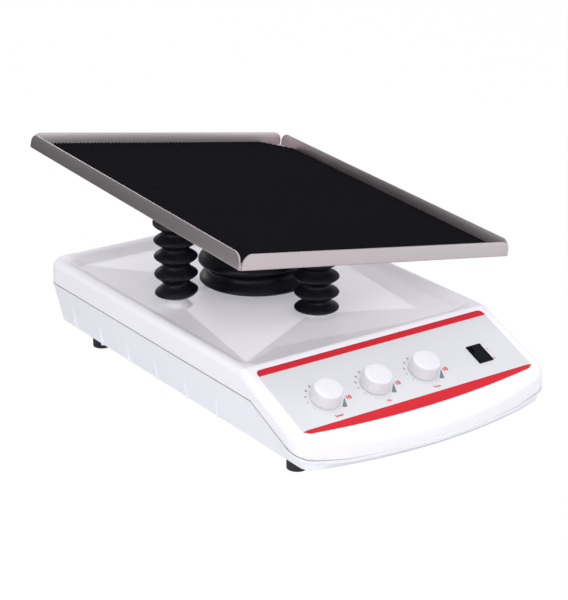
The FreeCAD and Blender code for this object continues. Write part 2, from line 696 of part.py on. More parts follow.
def make_post():
    to_pivot = FreeCAD.Placement(PIVOT, FreeCAD.Rotation())
    base_low = FORK_BASE_TOP - FORK_BASE_THICKNESS
    ears = [placed(fork_ear(side, FORK_BASE_TOP), to_pivot) for side in (-1, 1)]
    bridge = placed(box(-EAR_OUTER, EAR_OUTER, -EAR_RADIUS, EAR_RADIUS, base_low, FORK_BASE_TOP), to_pivot)
    flange_top = CHASSIS_TOP + POST_FLANGE_THICKNESS
    column = rod_z(POST_RADIUS, 0, PIVOT_Y, flange_top, PIVOT_Z + base_low + 1)
    flange = rod_z(POST_FLANGE_RADIUS, 0, PIVOT_Y, CHASSIS_TOP, flange_top)
    post = joined([flange, column, bridge] + ears)
    holes = [rod_z(SCREW_RADIUS + FIT_CLEARANCE, x, y, CHASSIS_TOP, flange_top) for x, y in post_bolt_places()]
    return post.cut(holes[0].multiFuse(holes[1:]))


def fork_bush(side):
    """Flanged plain bush for the ear on one side, about the X axis through the origin."""
    sleeve_start = EAR_INNER if side > 0 else -EAR_OUTER
    flange_start = EAR_INNER - BUSH_FLANGE if side > 0 else -EAR_INNER
    depth = EAR_OUTER - EAR_INNER
    sleeve = rod(BUSH_RADIUS - FIT_CLEARANCE / 2, V(sleeve_start, 0, 0), X_AXIS, depth)
    flange = rod(BUSH_FLANGE_RADIUS, V(flange_start, 0, 0), X_AXIS, BUSH_FLANGE)
    bore = rod(TRUNNION_RADIUS + RUNNING_CLEARANCE, V(-EAR_OUTER, 0, 0), X_AXIS, 2 * EAR_OUTER)
    return sleeve.fuse(flange).removeSplitter().cut(bore)


def quarter_turned(shape):
    return placed(shape, FreeCAD.Placement(V(0, 0, 0), FreeCAD.Rotation(Z_AXIS, 90)))


def make_spider():
    half = SPIDER_HALF
    block = box(-half, half, -half, half, -SPIDER_HALF_HEIGHT, SPIDER_HALF_HEIGHT)
    upright = edges_where(block, lambda edge: abs(edge.Vertexes[0].Z - edge.Vertexes[1].Z) > SPIDER_HALF_HEIGHT)
    block = block.makeChamfer(3.0, upright)
    bores = [rod(TRUNNION_RADIUS + FIT_CLEARANCE, V(*[half * c for c in d]), V(*[-c for c in d]), TRUNNION_DEPTH) for d in pin_directions()]
    return with_spider(block.cut(bores[0].multiFuse(bores[1:])))


def pin_directions():
    return [(1, 0, 0), (-1, 0, 0), (0, 1, 0), (0, -1, 0)]


def make_trunnion_pins():
    pins = []
    for direction in pin_directions():
        outward = V(*direction)
        start = SPIDER_HALF - TRUNNION_DEPTH
        pin = rod(TRUNNION_RADIUS, outward * start, outward, TRUNNION_REACH - start)
        pins.append(with_spider(pin))
    return pins


# Tray and what is fixed under it

def make_lip(half_length, distance, turn):
    """A lip that stands at y = -distance before it is turned about the vertical."""
    low = TRAY_UNDERSIDE
    high = TRAY_UNDERSIDE + LIP_HEIGHT
    end = half_length - LIP_END_GAP
    bend = LIP_END_RADIUS * (1 - math.sqrt(0.5))
    y = -distance
    arc_right = [V(end, y, high - LIP_END_RADIUS), V(end - bend, y, high - bend), V(end - LIP_END_RADIUS, y, high)]
    arc_left = [V(-p.x, p.y, p.z) for p in reversed(arc_right)]
    edges = [
        Part.LineSegment(V(-end, y, low), V(end, y, low)).toShape(),
        Part.LineSegment(V(end, y, low), arc_right[0]).toShape(),
        Part.Arc(*arc_right).toShape(),
        Part.LineSegment(arc_right[2], arc_left[0]).toShape(),
        Part.Arc(*arc_left).toShape(),
        Part.LineSegment(arc_left[2], V(-end, y, low)).toShape(),
    ]
    lip = Part.Face(Part.Wire(edges)).extrude(V(0, TRAY_SHEET, 0))
    return placed(lip, FreeCAD.Placement(V(0, 0, 0), FreeCAD.Rotation(Z_AXIS, turn)))


def tray_screw_places():
    places = []
    for k in range(TRAY_SCREW_COUNT):
        angle = math.radians(30 + 360 / TRAY_SCREW_COUNT * k)
        places.append((TRAY_SCREW_CIRCLE * math.cos(angle), TRAY_SCREW_CIRCLE * math.sin(angle)))
    places += [(0, 0), (0, (EAR_OUTER + EAR_INNER) / 2), (0, -(EAR_OUTER + EAR_INNER) / 2)]
    return places


def make_tray():
    half_x = TRAY_WIDTH / 2
    half_y = TRAY_LENGTH / 2
    top = TRAY_UNDERSIDE + TRAY_SHEET
    floor = box(-half_x, half_x, -half_y, half_y, TRAY_UNDERSIDE, top)
    gap = LIP_END_GAP
    notches = []
    for sign_x in (-1, 1):
        for sign_y in (-1, 1):
            corner = V(sign_x * half_x, sign_y * half_y, 0)
            notches.append(box(corner.x - gap, corner.x + gap, corner.y - gap, corner.y + gap, TRAY_UNDERSIDE, top))
    floor = floor.cut(notches[0].multiFuse(notches[1:]))
    lips = [
        make_lip(half_x, half_y, 0),
        make_lip(half_y, half_x, 90),
        make_lip(half_x, half_y, 180),
        make_lip(half_y, half_x, 270),
    ]
    tray = joined([floor] + lips)

    def is_bend(edge):
        middle = edge.valueAt((edge.FirstParameter + edge.LastParameter) / 2)
        outside = abs(abs(middle.x) - half_x) < 0.01 or abs(abs(middle.y) - half_y) < 0.01
        return edge.Length > TRAY_WIDTH / 2 and outside and abs(middle.z - TRAY_UNDERSIDE) < 0.01

    tray = tray.makeFillet(TRAY_BEND_RADIUS, edges_where(tray, is_bend))
    holes = []
    for x, y in tray_screw_places():
        holes.append(rod_z(SCREW_HEAD_RADIUS + FIT_CLEARANCE, x, y, TRAY_UNDERSIDE, top))
    return with_tray(tray.cut(holes[0].multiFuse(holes[1:])))


def make_tray_screws():
    screws = []
    for x, y in tray_screw_places():
        head = rod_z(SCREW_HEAD_RADIUS, x, y, TRAY_UNDERSIDE, TRAY_UNDERSIDE + TRAY_SHEET)
        shank = rod_z(SCREW_RADIUS, x, y, BRACKET_UNDERSIDE, TRAY_UNDERSIDE + 1)
        screws.append(with_tray(joined([head, shank])))
    return screws


def make_mat():
    margin = TRAY_SHEET + LOOSE_CLEARANCE
    half_x = TRAY_WIDTH / 2 - margin
    half_y = TRAY_LENGTH / 2 - margin
    cut = MAT_CORNER_CUT
    points = []
    for sign_x, sign_y in ((1, 1), (-1, 1), (-1, -1), (1, -1)):
        along_y = V(sign_x * half_x, sign_y * (half_y - cut), MAT_UNDERSIDE)
        along_x = V(sign_x * (half_x - cut), sign_y * half_y, MAT_UNDERSIDE)
        points += [along_y, along_x] if sign_x == sign_y else [along_x, along_y]
    blank = Part.Face(Part.makePolygon(points + points[:1])).extrude(V(0, 0, MAT_THICKNESS))
    # lengthways ribs, left standing between shallow channels
    floor = MAT_UNDERSIDE + MAT_THICKNESS - MAT_RIB_HEIGHT
    top = MAT_UNDERSIDE + MAT_THICKNESS + LOOSE_CLEARANCE
    channels = int(TRAY_WIDTH / MAT_RIB_PITCH) + 2
    first = -channels * MAT_RIB_PITCH / 2
    grooves = []
    for k in range(channels):
        start = first + MAT_RIB_PITCH * k + MAT_RIB_WIDTH / 2
        grooves.append(box(start, start + MAT_RIB_PITCH - MAT_RIB_WIDTH, -TRAY_LENGTH, TRAY_LENGTH, floor, top))
    return with_tray(blank.cut(Part.makeCompound(grooves)))


def make_bracket():
    low = BRACKET_UNDERSIDE
    high = TRAY_UNDERSIDE
    half = BRACKET_ARM_WIDTH / 2
    pieces = [rod_z(BRACKET_DISC_RADIUS, 0, 0, low, high)]
    pieces.append(box(-ARM_LENGTH, 0, -half, half, low, high))
    pieces.append(box(-half, half, -ARM_LENGTH, 0, low, high))
    pieces.append(rod_z(half, -ARM_LENGTH, 0, low, high))
    pieces.append(rod_z(half, 0, -ARM_LENGTH, low, high))
    bracket = joined(pieces)
    gap = LOOSE_CLEARANCE
    window = box(-YOKE_HALF_X - gap, YOKE_HALF_X + gap, -YOKE_HALF_Y - gap, YOKE_HALF_Y + gap, low, high)
    cuts = [window]
    for x, y in tray_screw_places()[:TRAY_SCREW_COUNT]:
        cuts.append(rod_z(SCREW_RADIUS + FIT_CLEARANCE, x, y, low, high))
    return with_tray(bracket.cut(cuts[0].multiFuse(cuts[1:])))


def make_yoke():
    plate = box(-YOKE_HALF_X, YOKE_HALF_X, -YOKE_HALF_Y, YOKE_HALF_Y, BRACKET_UNDERSIDE, TRAY_UNDERSIDE)
    turned_over = FreeCAD.Placement(V(0, 0, 0), FreeCAD.Rotation(X_AXIS, 180))
    ears = [quarter_turned(placed(fork_ear(side, -BRACKET_UNDERSIDE), turned_over)) for side in (-1, 1)]
    yoke = joined([plate] + ears)
    holes = []
    for x, y in tray_screw_places()[TRAY_SCREW_COUNT:]:
        holes.append(rod_z(SCREW_RADIUS + FIT_CLEARANCE, x, y, BRACKET_UNDERSIDE, TRAY_UNDERSIDE))
    return with_tray(yoke.cut(holes[0].multiFuse(holes[1:])))


def make_rod_sockets():
    outer = BALL_RADIUS + SOCKET_PLAY + SOCKET_WALL
    inner = BALL_RADIUS + SOCKET_PLAY
    places = ((-ARM_LENGTH, 0), (0, -ARM_LENGTH))
    return [with_tray(ring_z(outer, inner, x, y, SOCKET_RIM, BRACKET_UNDERSIDE)) for x, y in places]


# Push rods and drives, in a frame whose z axis is the rod and whose x axis points to the pinion

def ball_centre_height(x, y):
    centre = PIVOT + tray_turn(1.0).multVec(V(x, y, BALL_HEIGHT))
    return centre.z


LEFT_BALL_Z = ball_centre_height(-ARM_LENGTH, 0)
FRONT_BALL_Z = ball_centre_height(0, -ARM_LENGTH)


def cap_underside(ball_z):
    return ball_z - CAP_BELOW_BALL - CAP_THICKNESS


def rack_gap(z):
    tip = RACK_PITCH_LINE + ADDENDUM + 1.0
    root = RACK_PITCH_LINE - DEDENDUM
    slant = math.tan(math.radians(PRESSURE_ANGLE))
    half_pitch_width = (math.pi * MODULE / 2 + BACKLASH) / 2
    half_root = half_pitch_width - DEDENDUM * slant
    half_tip = half_pitch_width + (ADDENDUM + 1.0) * slant
    width = 2 * ROD_RADIUS
    points = [V(root, -ROD_RADIUS, z - half_root), V(tip, -ROD_RADIUS, z - half_tip), V(tip, -ROD_RADIUS, z + half_tip), V(root, -ROD_RADIUS, z + half_root)]
    return Part.Face(Part.makePolygon(points + points[:1])).extrude(V(0, width, 0))


def make_rack_rod(ball_z, down, up):
    # whole teeth on both sides of the mesh point, so that the rack ends in the middle of a tooth
    pitch = math.pi * MODULE
    below = math.ceil(up / pitch)
    above = math.ceil((down + RACK_RUN_OUT) / pitch)
    low = PINION_HEIGHT - pitch * (below + 0.5)
    teeth_top = PINION_HEIGHT + pitch * (above + 0.5)
    bar = rod_z(ROD_RADIUS, 0, 0, low, cap_underside(ball_z))
    flat = RACK_PITCH_LINE + ADDENDUM
    bar = bar.cut(box(flat, ROD_RADIUS + 1, -ROD_RADIUS, ROD_RADIUS, low - 1, teeth_top))
    gaps = [rack_gap(PINION_HEIGHT + pitch * k) for k in range(-below, above + 1)]
    return bar.cut(gaps[0].multiFuse(gaps[1:]))


def make_ball_stud(ball_z):
    centre = V(0, 0, ball_z)
    ball = Part.makeSphere(BALL_RADIUS, centre)
    neck = rod_z(BALL_NECK_RADIUS, 0, 0, cap_underside(ball_z) - BALL_NECK_DEPTH, ball_z)
    return joined([ball, neck])


def make_cap(ball_z):
    low = cap_underside(ball_z)
    return ring_z(CAP_RADIUS, BALL_NECK_RADIUS + FIT_CLEARANCE, 0, 0, low, low + CAP_THICKNESS)


def bored_for_stud(bar, ball_z):
    low = cap_underside(ball_z) - BALL_NECK_DEPTH
    return bar.cut(rod_z(BALL_NECK_RADIUS + FIT_CLEARANCE, 0, 0, low, ball_z))


def involute_point(base_radius, radius, offset):
    pressure = math.acos(min(1.0, base_radius / radius))
    roll = math.tan(pressure) - pressure
    return radius, offset - roll


def make_pinion():
    pitch_radius = PINION_RADIUS
    base_radius = pitch_radius * math.cos(math.radians(PRESSURE_ANGLE))
    outer = pitch_radius + ADDENDUM
    root = pitch_radius - DEDENDUM
    half_tooth = (math.pi * MODULE / 2 - BACKLASH) / 2 / pitch_radius
    pressure = math.radians(PRESSURE_ANGLE)
    offset = half_tooth + math.tan(pressure) - pressure
    radii = [base_radius, (base_radius + pitch_radius) / 2, pitch_radius, outer]
    flank = [involute_point(base_radius, radius, offset) for radius in radii]
    tooth = [(root, -offset)] + [(radius, -angle) for radius, angle in flank]
    tooth += [(radius, angle) for radius, angle in reversed(flank)] + [(root, offset)]
    points = []
    for k in range(PINION_TEETH):
        turn = math.pi + 2 * math.pi * k / PINION_TEETH
        for radius, angle in tooth:
            points.append(V(radius * math.cos(turn + angle), -PINION_WIDTH / 2, radius * math.sin(turn + angle)))
    wheel = Part.Face(Part.makePolygon(points + points[:1])).extrude(V(0, PINION_WIDTH, 0))
    reach = PINION_WIDTH / 2 + MOTOR_BRACKET_GAP + MOTOR_BRACKET_SHEET + GEARBOX_DEPTH - 2
    shaft = rod(PINION_SHAFT_RADIUS, V(0, -PINION_WIDTH / 2, 0), Y_AXIS, PINION_WIDTH / 2 + reach)
    pinion = joined([wheel, shaft])
    return placed(pinion, FreeCAD.Placement(V(PINION_X, 0, PINION_HEIGHT), FreeCAD.Rotation()))


def gearbox_face():
    return PINION_WIDTH / 2 + MOTOR_BRACKET_GAP + MOTOR_BRACKET_SHEET


def make_gear_motor():
    face = gearbox_face()
    half = GEARBOX_WIDTH / 2
    low = CHASSIS_TOP + MOTOR_BRACKET_SHEET + LOOSE_CLEARANCE
    high = PINION_HEIGHT + GEARBOX_ABOVE_SHAFT
    gearbox = box(PINION_X - half, PINION_X + half, face, face + GEARBOX_DEPTH, low, high)
    upright = edges_where(gearbox, lambda edge: abs(edge.Vertexes[0].Y - edge.Vertexes[1].Y) > GEARBOX_DEPTH / 2)
    gearbox = gearbox.makeFillet(5.0, upright)
    motor_z = PINION_HEIGHT - MOTOR_BELOW_SHAFT
    can = rod(MOTOR_RADIUS, V(PINION_X, face + GEARBOX_DEPTH - 1, motor_z), Y_AXIS, MOTOR_LENGTH + 1)
    end = rod(MOTOR_RADIUS / 2, V(PINION_X, face + GEARBOX_DEPTH + MOTOR_LENGTH - 1, motor_z), Y_AXIS, 4)
    bore = rod(PINION_SHAFT_RADIUS + RUNNING_CLEARANCE, V(PINION_X, face, PINION_HEIGHT), Y_AXIS, GEARBOX_DEPTH - 1)
    return joined([gearbox, can, end]).cut(bore)


def make_motor_bracket():
    face = gearbox_face()
    start = face - MOTOR_BRACKET_SHEET
    half = GEARBOX_WIDTH / 2
    high = PINION_HEIGHT + GEARBOX_ABOVE_SHAFT
    upright = box(PINION_X - half, PINION_X + half, start, face, CHASSIS_TOP, high)
    foot = box(PINION_X - half, PINION_X + half, start, start + MOTOR_BRACKET_FOOT, CHASSIS_TOP, CHASSIS_TOP + MOTOR_BRACKET_SHEET)
    bore = rod(2 * PINION_SHAFT_RADIUS, V(PINION_X, start, PINION_HEIGHT), Y_AXIS, MOTOR_BRACKET_SHEET)
    return joined([upright, foot]).cut(bore)


def make_guide_bush(collar):
    pieces = [
        rod_z(GUIDE_RADIUS, 0, 0, DECK_UNDERSIDE, GUIDE_TOP),
        rod_z(COLLAR_RADIUS, 0, 0, DECK_Z, DECK_Z + collar),
    ]
    if collar > FLARE_HEIGHT:
        flare = FLARE_RADIUS - COLLAR_RADIUS
        points = [(COLLAR_RADIUS, 0.0), (FLARE_RADIUS, 0.0), (COLLAR_RADIUS + flare * 0.4, FLARE_HEIGHT * 0.25)]
        points += [(COLLAR_RADIUS + flare * 0.12, FLARE_HEIGHT * 0.6), (COLLAR_RADIUS, FLARE_HEIGHT)]
        inner = [(COLLAR_RADIUS - 1, FLARE_HEIGHT), (COLLAR_RADIUS - 1, 0.0)]
        pieces.append(revolved([(radius, DECK_Z + z) for radius, z in points[1:] + inner], 0, 0))
    return joined(pieces).cut(rod_z(ROD_RADIUS + RUNNING_CLEARANCE, 0, 0, DECK_UNDERSIDE, GUIDE_TOP))


# Bellows

def make_small_bellows(low, high, neck, end_fold):
    """Folds from the neck up; an end fold of one half stops at its widest ring, under the cap."""
    pitch = (high - low) / (SMALL_FOLDS + end_fold)
    outer = [(neck, low)]
    for k in range(SMALL_FOLDS):
        peak = low + pitch * (k + 0.5)
        outer.append((SMALL_PEAK_RADIUS, peak - SMALL_RIM / 2))
        outer.append((SMALL_PEAK_RADIUS, peak + SMALL_RIM / 2))
        valley = low + pitch * (k + 1)
        outer.append((SMALL_VALLEY_RADIUS, valley - SMALL_VALLEY / 2))
        outer.append((SMALL_VALLEY_RADIUS, min(valley + SMALL_VALLEY / 2, high)))
    if end_fold:
        outer.append((SMALL_PEAK_RADIUS, high - SMALL_RIM / 2))
        outer.append((SMALL_PEAK_RADIUS, high))
    inner = [(radius - BELLOWS_WALL, z) for radius, z in reversed(outer)]
    return revolved(outer + inner, 0, 0)


def left_bellows(high):
    neck = GUIDE_RADIUS + FIT_CLEARANCE + BELLOWS_WALL
    return make_small_bellows(DECK_Z + LEFT_COLLAR, high, neck, LEFT_END_FOLD)


def front_bellows(high):
    neck = COLLAR_RADIUS + FIT_CLEARANCE + BELLOWS_WALL
    return make_small_bellows(DECK_Z, high, neck, FRONT_END_FOLD)


def big_bellows_sections(height, wall):
    """Radius and height from the deck up, without the wall on the inside if one is given."""
    pitch = height / BIG_FOLDS
    half_rim = pitch * BIG_RIM_SHARE / 2
    under = BIG_NECK_HEIGHT + 2 * wall
    sections = [(BIG_NECK_RADIUS - wall, 0.0), (BIG_NECK_RADIUS - wall, under)]
    for k in range(BIG_FOLDS):
        middle = pitch * (k + 0.5)
        sections.append((BIG_PEAK_RADIUS - wall, middle - (half_rim - wall / 2 if k == 0 else half_rim)))
        sections.append((BIG_PEAK_RADIUS - wall, middle + half_rim))
        sections.append((BIG_VALLEY_RADIUS - wall, pitch * (k + 1)))
    return sections


def make_centre_bellows():
    low = DECK_Z - PIVOT_Z
    height = BRACKET_UNDERSIDE - low
    skins = []
    for wall in (0.0, BELLOWS_WALL):
        wires = []
        for radius, lift in big_bellows_sections(height, wall):
            place = FreeCAD.Placement(PIVOT, tray_turn(lift / height))
            wires.append(placed(Part.Wire(Part.makeCircle(radius, V(0, 0, low + lift))), place))
        skins.append(Part.makeLoft(wires, True, True))
    return skins[0].cut(skins[1])


# Control panel

def make_overlay():
    sheet = Part.Face(panel_outline(0.0, -OVERLAY_RECESS)).extrude(V(0, 0, OVERLAY_THICKNESS))
    holes = panel_holes(-1.0, 1.0, LOOSE_CLEARANCE)
    return on_panel(sheet.cut(holes[0].multiFuse(holes[1:])))


def make_potentiometers():
    pots = []
    for x in KNOB_XS:
        body = rod_z(POT_BODY_RADIUS, x, -CONTROL_S, POT_BODY_BOTTOM, POT_BODY_TOP)
        neck = rod_z(POT_NECK_RADIUS, x, -CONTROL_S, POT_BODY_TOP - 1, POT_NECK_TOP)
        bore = rod_z(SHAFT_RADIUS + RUNNING_CLEARANCE, x, -CONTROL_S, POT_BODY_TOP - SHAFT_DEPTH_IN_POT, POT_NECK_TOP)
        pots.append(on_panel(joined([body, neck]).cut(bore)))
    return pots


def make_pot_shaft(x):
    bottom = POT_BODY_TOP - SHAFT_DEPTH_IN_POT + LOOSE_CLEARANCE
    return on_panel(rod_z(SHAFT_RADIUS, x, -CONTROL_S, bottom, SHAFT_TOP))


def make_knob(x):
    base = OVERLAY_THICKNESS - OVERLAY_RECESS + KNOB_GAP
    edge = KNOB_EDGE_RADIUS
    bend = edge * (1 - math.sqrt(0.5))
    skirt = base + KNOB_SKIRT_DEPTH
    profile = [
        (SHAFT_RADIUS + FIT_CLEARANCE, SHAFT_TOP),
        (SHAFT_RADIUS + FIT_CLEARANCE, skirt),
        (KNOB_BASE_RADIUS - KNOB_SKIRT_WALL, skirt),
        (KNOB_BASE_RADIUS - KNOB_SKIRT_WALL, base),
        (KNOB_BASE_RADIUS, base),
        (KNOB_TOP_RADIUS, KNOB_HEIGHT - edge),
        (KNOB_TOP_RADIUS - bend, KNOB_HEIGHT - bend),
        (KNOB_TOP_RADIUS - edge, KNOB_HEIGHT),
        (0, KNOB_HEIGHT),
        (0, SHAFT_TOP),
    ]
    return on_panel(revolved(profile, x, -CONTROL_S))


def switch_box(half_x, half_s, n0, n1):
    return box(SWITCH_X - half_x, SWITCH_X + half_x, -CONTROL_S - half_s, -CONTROL_S + half_s, n0, n1)


def make_switch_body():
    top = OVERLAY_THICKNESS - OVERLAY_RECESS
    bezel = switch_box(BEZEL_WIDTH / 2, BEZEL_LENGTH / 2, top, top + BEZEL_HEIGHT)
    rim = edges_where(bezel, lambda edge: all(v.Z > top + BEZEL_HEIGHT / 2 for v in edge.Vertexes))
    bezel = bezel.makeChamfer(0.6, rim)
    body = switch_box(SWITCH_BODY_WIDTH / 2, SWITCH_BODY_LENGTH / 2, INSIDE - SWITCH_DEPTH + 4, top + 1)
    cavity = switch_box(BEZEL_WIDTH / 2 - BEZEL_WALL - 0.8, BEZEL_LENGTH / 2 - BEZEL_WALL, -SWITCH_CAVITY_DEPTH, top + BEZEL_HEIGHT)
    return on_panel(joined([bezel, body]).cut(cavity))


def make_rocker():
    half_x = BEZEL_WIDTH / 2 - BEZEL_WALL - 0.8 - LOOSE_CLEARANCE
    reach = BEZEL_LENGTH / 2 - BEZEL_WALL - 3 * LOOSE_CLEARANCE
    # side view about the pivot: two sloping faces that meet in a shallow valley
    points = [(-reach, 4.2), (0, 2.7), (reach, 4.2), (reach, 1.0), (reach / 2, -3.5), (-reach / 2, -3.5), (-reach, 1.0)]
    corners = [V(SWITCH_X - half_x, along, up) for along, up in points]
    body = Part.Face(Part.makePolygon(corners + corners[:1])).extrude(V(2 * half_x, 0, 0))
    turn = FreeCAD.Rotation(X_AXIS, ROCKER_TILT)
    return on_panel(placed(body, FreeCAD.Placement(V(0, -CONTROL_S, ROCKER_PIVOT_N), turn)))


def make_circuit_board():
    top = POT_BODY_BOTTOM
    board = box(BOARD_LEFT, BOARD_RIGHT, -BOARD_LOW_S, -BOARD_TOP_S, top - BOARD_THICKNESS, top)
    chips = []
    for x in (KNOB_XS[0] + KNOB_PITCH / 2, KNOB_XS[1] + KNOB_PITCH / 2):
        low_s, high_s = -CONTROL_S - CHIP_HALF_LENGTH, -CONTROL_S + CHIP_HALF_LENGTH
        chips.append(box(x - CHIP_HALF_WIDTH, x + CHIP_HALF_WIDTH, low_s, high_s, top - SOLDER, top + CHIP_HEIGHT))
    right = BOARD_RIGHT - HEADER_MARGIN
    low_s, high_s = -CONTROL_S - HEADER_HALF_LENGTH, -CONTROL_S + HEADER_HALF_LENGTH
    header = box(right - HEADER_WIDTH, right, low_s, high_s, top - SOLDER, top + HEADER_HEIGHT)
    return on_panel(joined([board] + chips + [header]))


# Power

def make_inlet():
    def block(width, height, y0, y1):
        return box(INLET_X - width / 2, INLET_X + width / 2, y0, y1, INLET_Z - height / 2, INLET_Z + height / 2)

    front = INLET_FACE_Y + INLET_BEZEL
    bezel = block(INLET_BEZEL_WIDTH, INLET_BEZEL_HEIGHT, INLET_FACE_Y, front)
    corners = edges_where(bezel, lambda edge: abs(edge.Vertexes[0].Y - edge.Vertexes[1].Y) > INLET_BEZEL / 2)
    bezel = bezel.makeFillet(2.5, corners)
    body = block(INLET_BODY_WIDTH, INLET_BODY_HEIGHT, front - INLET_BEZEL - INLET_BODY_DEPTH, INLET_FACE_Y + 1)
    cavity = block(INLET_CAVITY_WIDTH, INLET_CAVITY_HEIGHT, front - INLET_CAVITY_DEPTH, front)
    lower = edges_where(cavity, lambda edge: abs(edge.Vertexes[0].Y - edge.Vertexes[1].Y) > 1 and edge.Vertexes[0].Z > INLET_Z)
    cavity = cavity.makeChamfer(4.0, lower)
    return joined([bezel, body]).cut(cavity)


def make_inlet_pins():
    back = INLET_FACE_Y + INLET_BEZEL - INLET_CAVITY_DEPTH
    pins = []
    for x, z in ((-7.0, -2.0), (0.0, 2.0), (7.0, -2.0)):
        pins.append(box(INLET_X + x - 1, INLET_X + x + 1, back, back + INLET_PIN_LENGTH, INLET_Z + z - 2, INLET_Z + z + 2))
    return pins


def spacer_places():
    half_x = SUPPLY_WIDTH / 2 - SPACER_INSET
    half_y = SUPPLY_LENGTH / 2 - SPACER_INSET
    return [(SUPPLY_X + side * half_x, SUPPLY_Y + end * half_y) for side in (-1, 1) for end in (-1, 1)]


def make_supply_spacers():
    return [rod_z(SPACER_RADIUS, x, y, CHASSIS_TOP, CHASSIS_TOP + SPACER_HEIGHT) for x, y in spacer_places()]


def make_power_supply():
    low = CHASSIS_TOP + SPACER_HEIGHT
    top = low + BOARD_THICKNESS
    half_x = SUPPLY_WIDTH / 2
    half_y = SUPPLY_LENGTH / 2
    board = box(SUPPLY_X - half_x, SUPPLY_X + half_x, SUPPLY_Y - half_y, SUPPLY_Y + half_y, low, top)

    def block(x, y, half_width, half_length, height):
        x += SUPPLY_X
        y += SUPPLY_Y
        return box(x - half_width, x + half_width, y - half_length, y + half_length, top - SOLDER, top + height)

    core = block(-2.0, -2.0, CORE_HALF_WIDTH, CORE_HALF_LENGTH, CORE_HEIGHT)
    winding = block(-2.0, -2.0, WINDING_HALF_WIDTH, WINDING_HALF_LENGTH, WINDING_HEIGHT)
    heat_sink = block(HEAT_SINK_X, 0.0, HEAT_SINK_HALF_WIDTH, HEAT_SINK_HALF_LENGTH, HEAT_SINK_HEIGHT)
    capacitors = []
    for y in CAPACITOR_YS:
        capacitors.append(rod_z(CAPACITOR_RADIUS, SUPPLY_X + CAPACITOR_X, SUPPLY_Y + y, top - SOLDER, top + CAPACITOR_HEIGHT))
    fuse_start = V(SUPPLY_X + FUSE_X, SUPPLY_Y + FUSE_Y, top + FUSE_RADIUS - SOLDER)
    fuse = rod(FUSE_RADIUS, fuse_start, X_AXIS, FUSE_LENGTH)
    return joined([board, core, winding, heat_sink, fuse] + capacitors)


def compound(shapes):
    return Part.Compound(shapes)


def main():
    os.makedirs("parts", exist_ok=True)
    parts = {}
    parts["top_cover"] = make_cover()
    parts["bottom_pan"] = make_pan()
    parts["feet"] = compound(make_feet())
    parts["foot_studs"] = compound([foot_stud(x, y, 0.0) for x, y in foot_places()])
    parts["case_screws"] = compound([screw_up(x, y, CASE_SCREW_SHOULDER_Z, CASE_SCREW_LENGTH) for x, y in case_screw_places()])
    parts["chassis_plate"] = make_chassis()
    parts["chassis_screws"] = compound([screw_down(x, y, CHASSIS_TOP, CHASSIS_THICKNESS + CHASSIS_SCREW_DEPTH) for x, y in chassis_screw_places()])
    parts["centre_post"] = make_post()
    post_bolt_seat = CHASSIS_TOP + POST_FLANGE_THICKNESS
    parts["post_bolts"] = compound([screw_down(x, y, post_bolt_seat, POST_FLANGE_THICKNESS + CHASSIS_THICKNESS + 1) for x, y in post_bolt_places()])
    to_pivot = FreeCAD.Placement(PIVOT, FreeCAD.Rotation())
    parts["post_bushes"] = compound([placed(fork_bush(side), to_pivot) for side in (-1, 1)])
    parts["guide_bushes"] = compound([at_left_rod(make_guide_bush(LEFT_COLLAR)), at_front_rod(make_guide_bush(FRONT_COLLAR))])
    parts["centre_bellows"] = make_centre_bellows()

    parts["spider"] = make_spider()
    parts["trunnion_pins"] = compound(make_trunnion_pins())

    parts["tray"] = make_tray()
    parts["mat"] = make_mat()
    parts["tray_bracket"] = make_bracket()
    parts["tray_yoke"] = make_yoke()
    parts["yoke_bushes"] = compound([with_tray(quarter_turned(fork_bush(side))) for side in (-1, 1)])
    parts["tray_screws"] = compound(make_tray_screws())
    parts["rod_sockets"] = compound(make_rod_sockets())

    drives = (
        ("left", at_left_rod, LEFT_BALL_Z, LEFT_TRAVEL_DOWN, LEFT_TRAVEL_UP, left_bellows),
        ("front", at_front_rod, FRONT_BALL_Z, FRONT_TRAVEL_DOWN, FRONT_TRAVEL_UP, front_bellows),
    )
    for name, place, ball_z, down, up, bellows in drives:
        bar = make_rack_rod(ball_z, down, up)
        parts[name + "_rack_rod"] = place(bored_for_stud(bar, ball_z))
        parts[name + "_ball_stud"] = place(make_ball_stud(ball_z))
        parts[name + "_rod_cap"] = place(make_cap(ball_z))
        parts[name + "_pinion"] = place(make_pinion())
        parts[name + "_gear_motor"] = place(make_gear_motor())
        parts[name + "_motor_bracket"] = place(make_motor_bracket())
        parts[name + "_bellows"] = place(bellows(cap_underside(ball_z)))

    parts["panel_overlay"] = make_overlay()
    parts["potentiometers"] = compound(make_potentiometers())
    for name, x in zip(KNOB_NAMES, KNOB_XS):
        parts[name + "_knob"] = make_knob(x)
        parts[name + "_shaft"] = make_pot_shaft(x)
    parts["switch_body"] = make_switch_body()
    parts["switch_rocker"] = make_rocker()
    parts["circuit_board"] = make_circuit_board()
    parts["power_inlet"] = make_inlet()
    parts["inlet_pins"] = compound(make_inlet_pins())
    parts["power_supply"] = make_power_supply()
    parts["supply_spacers"] = compound(make_supply_spacers())

    for name, shape in parts.items():
        shape.exportStep("parts/" + name + ".step")


main()
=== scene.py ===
import json
import math

import bmesh
import bpy
from mathutils import Matrix, Vector

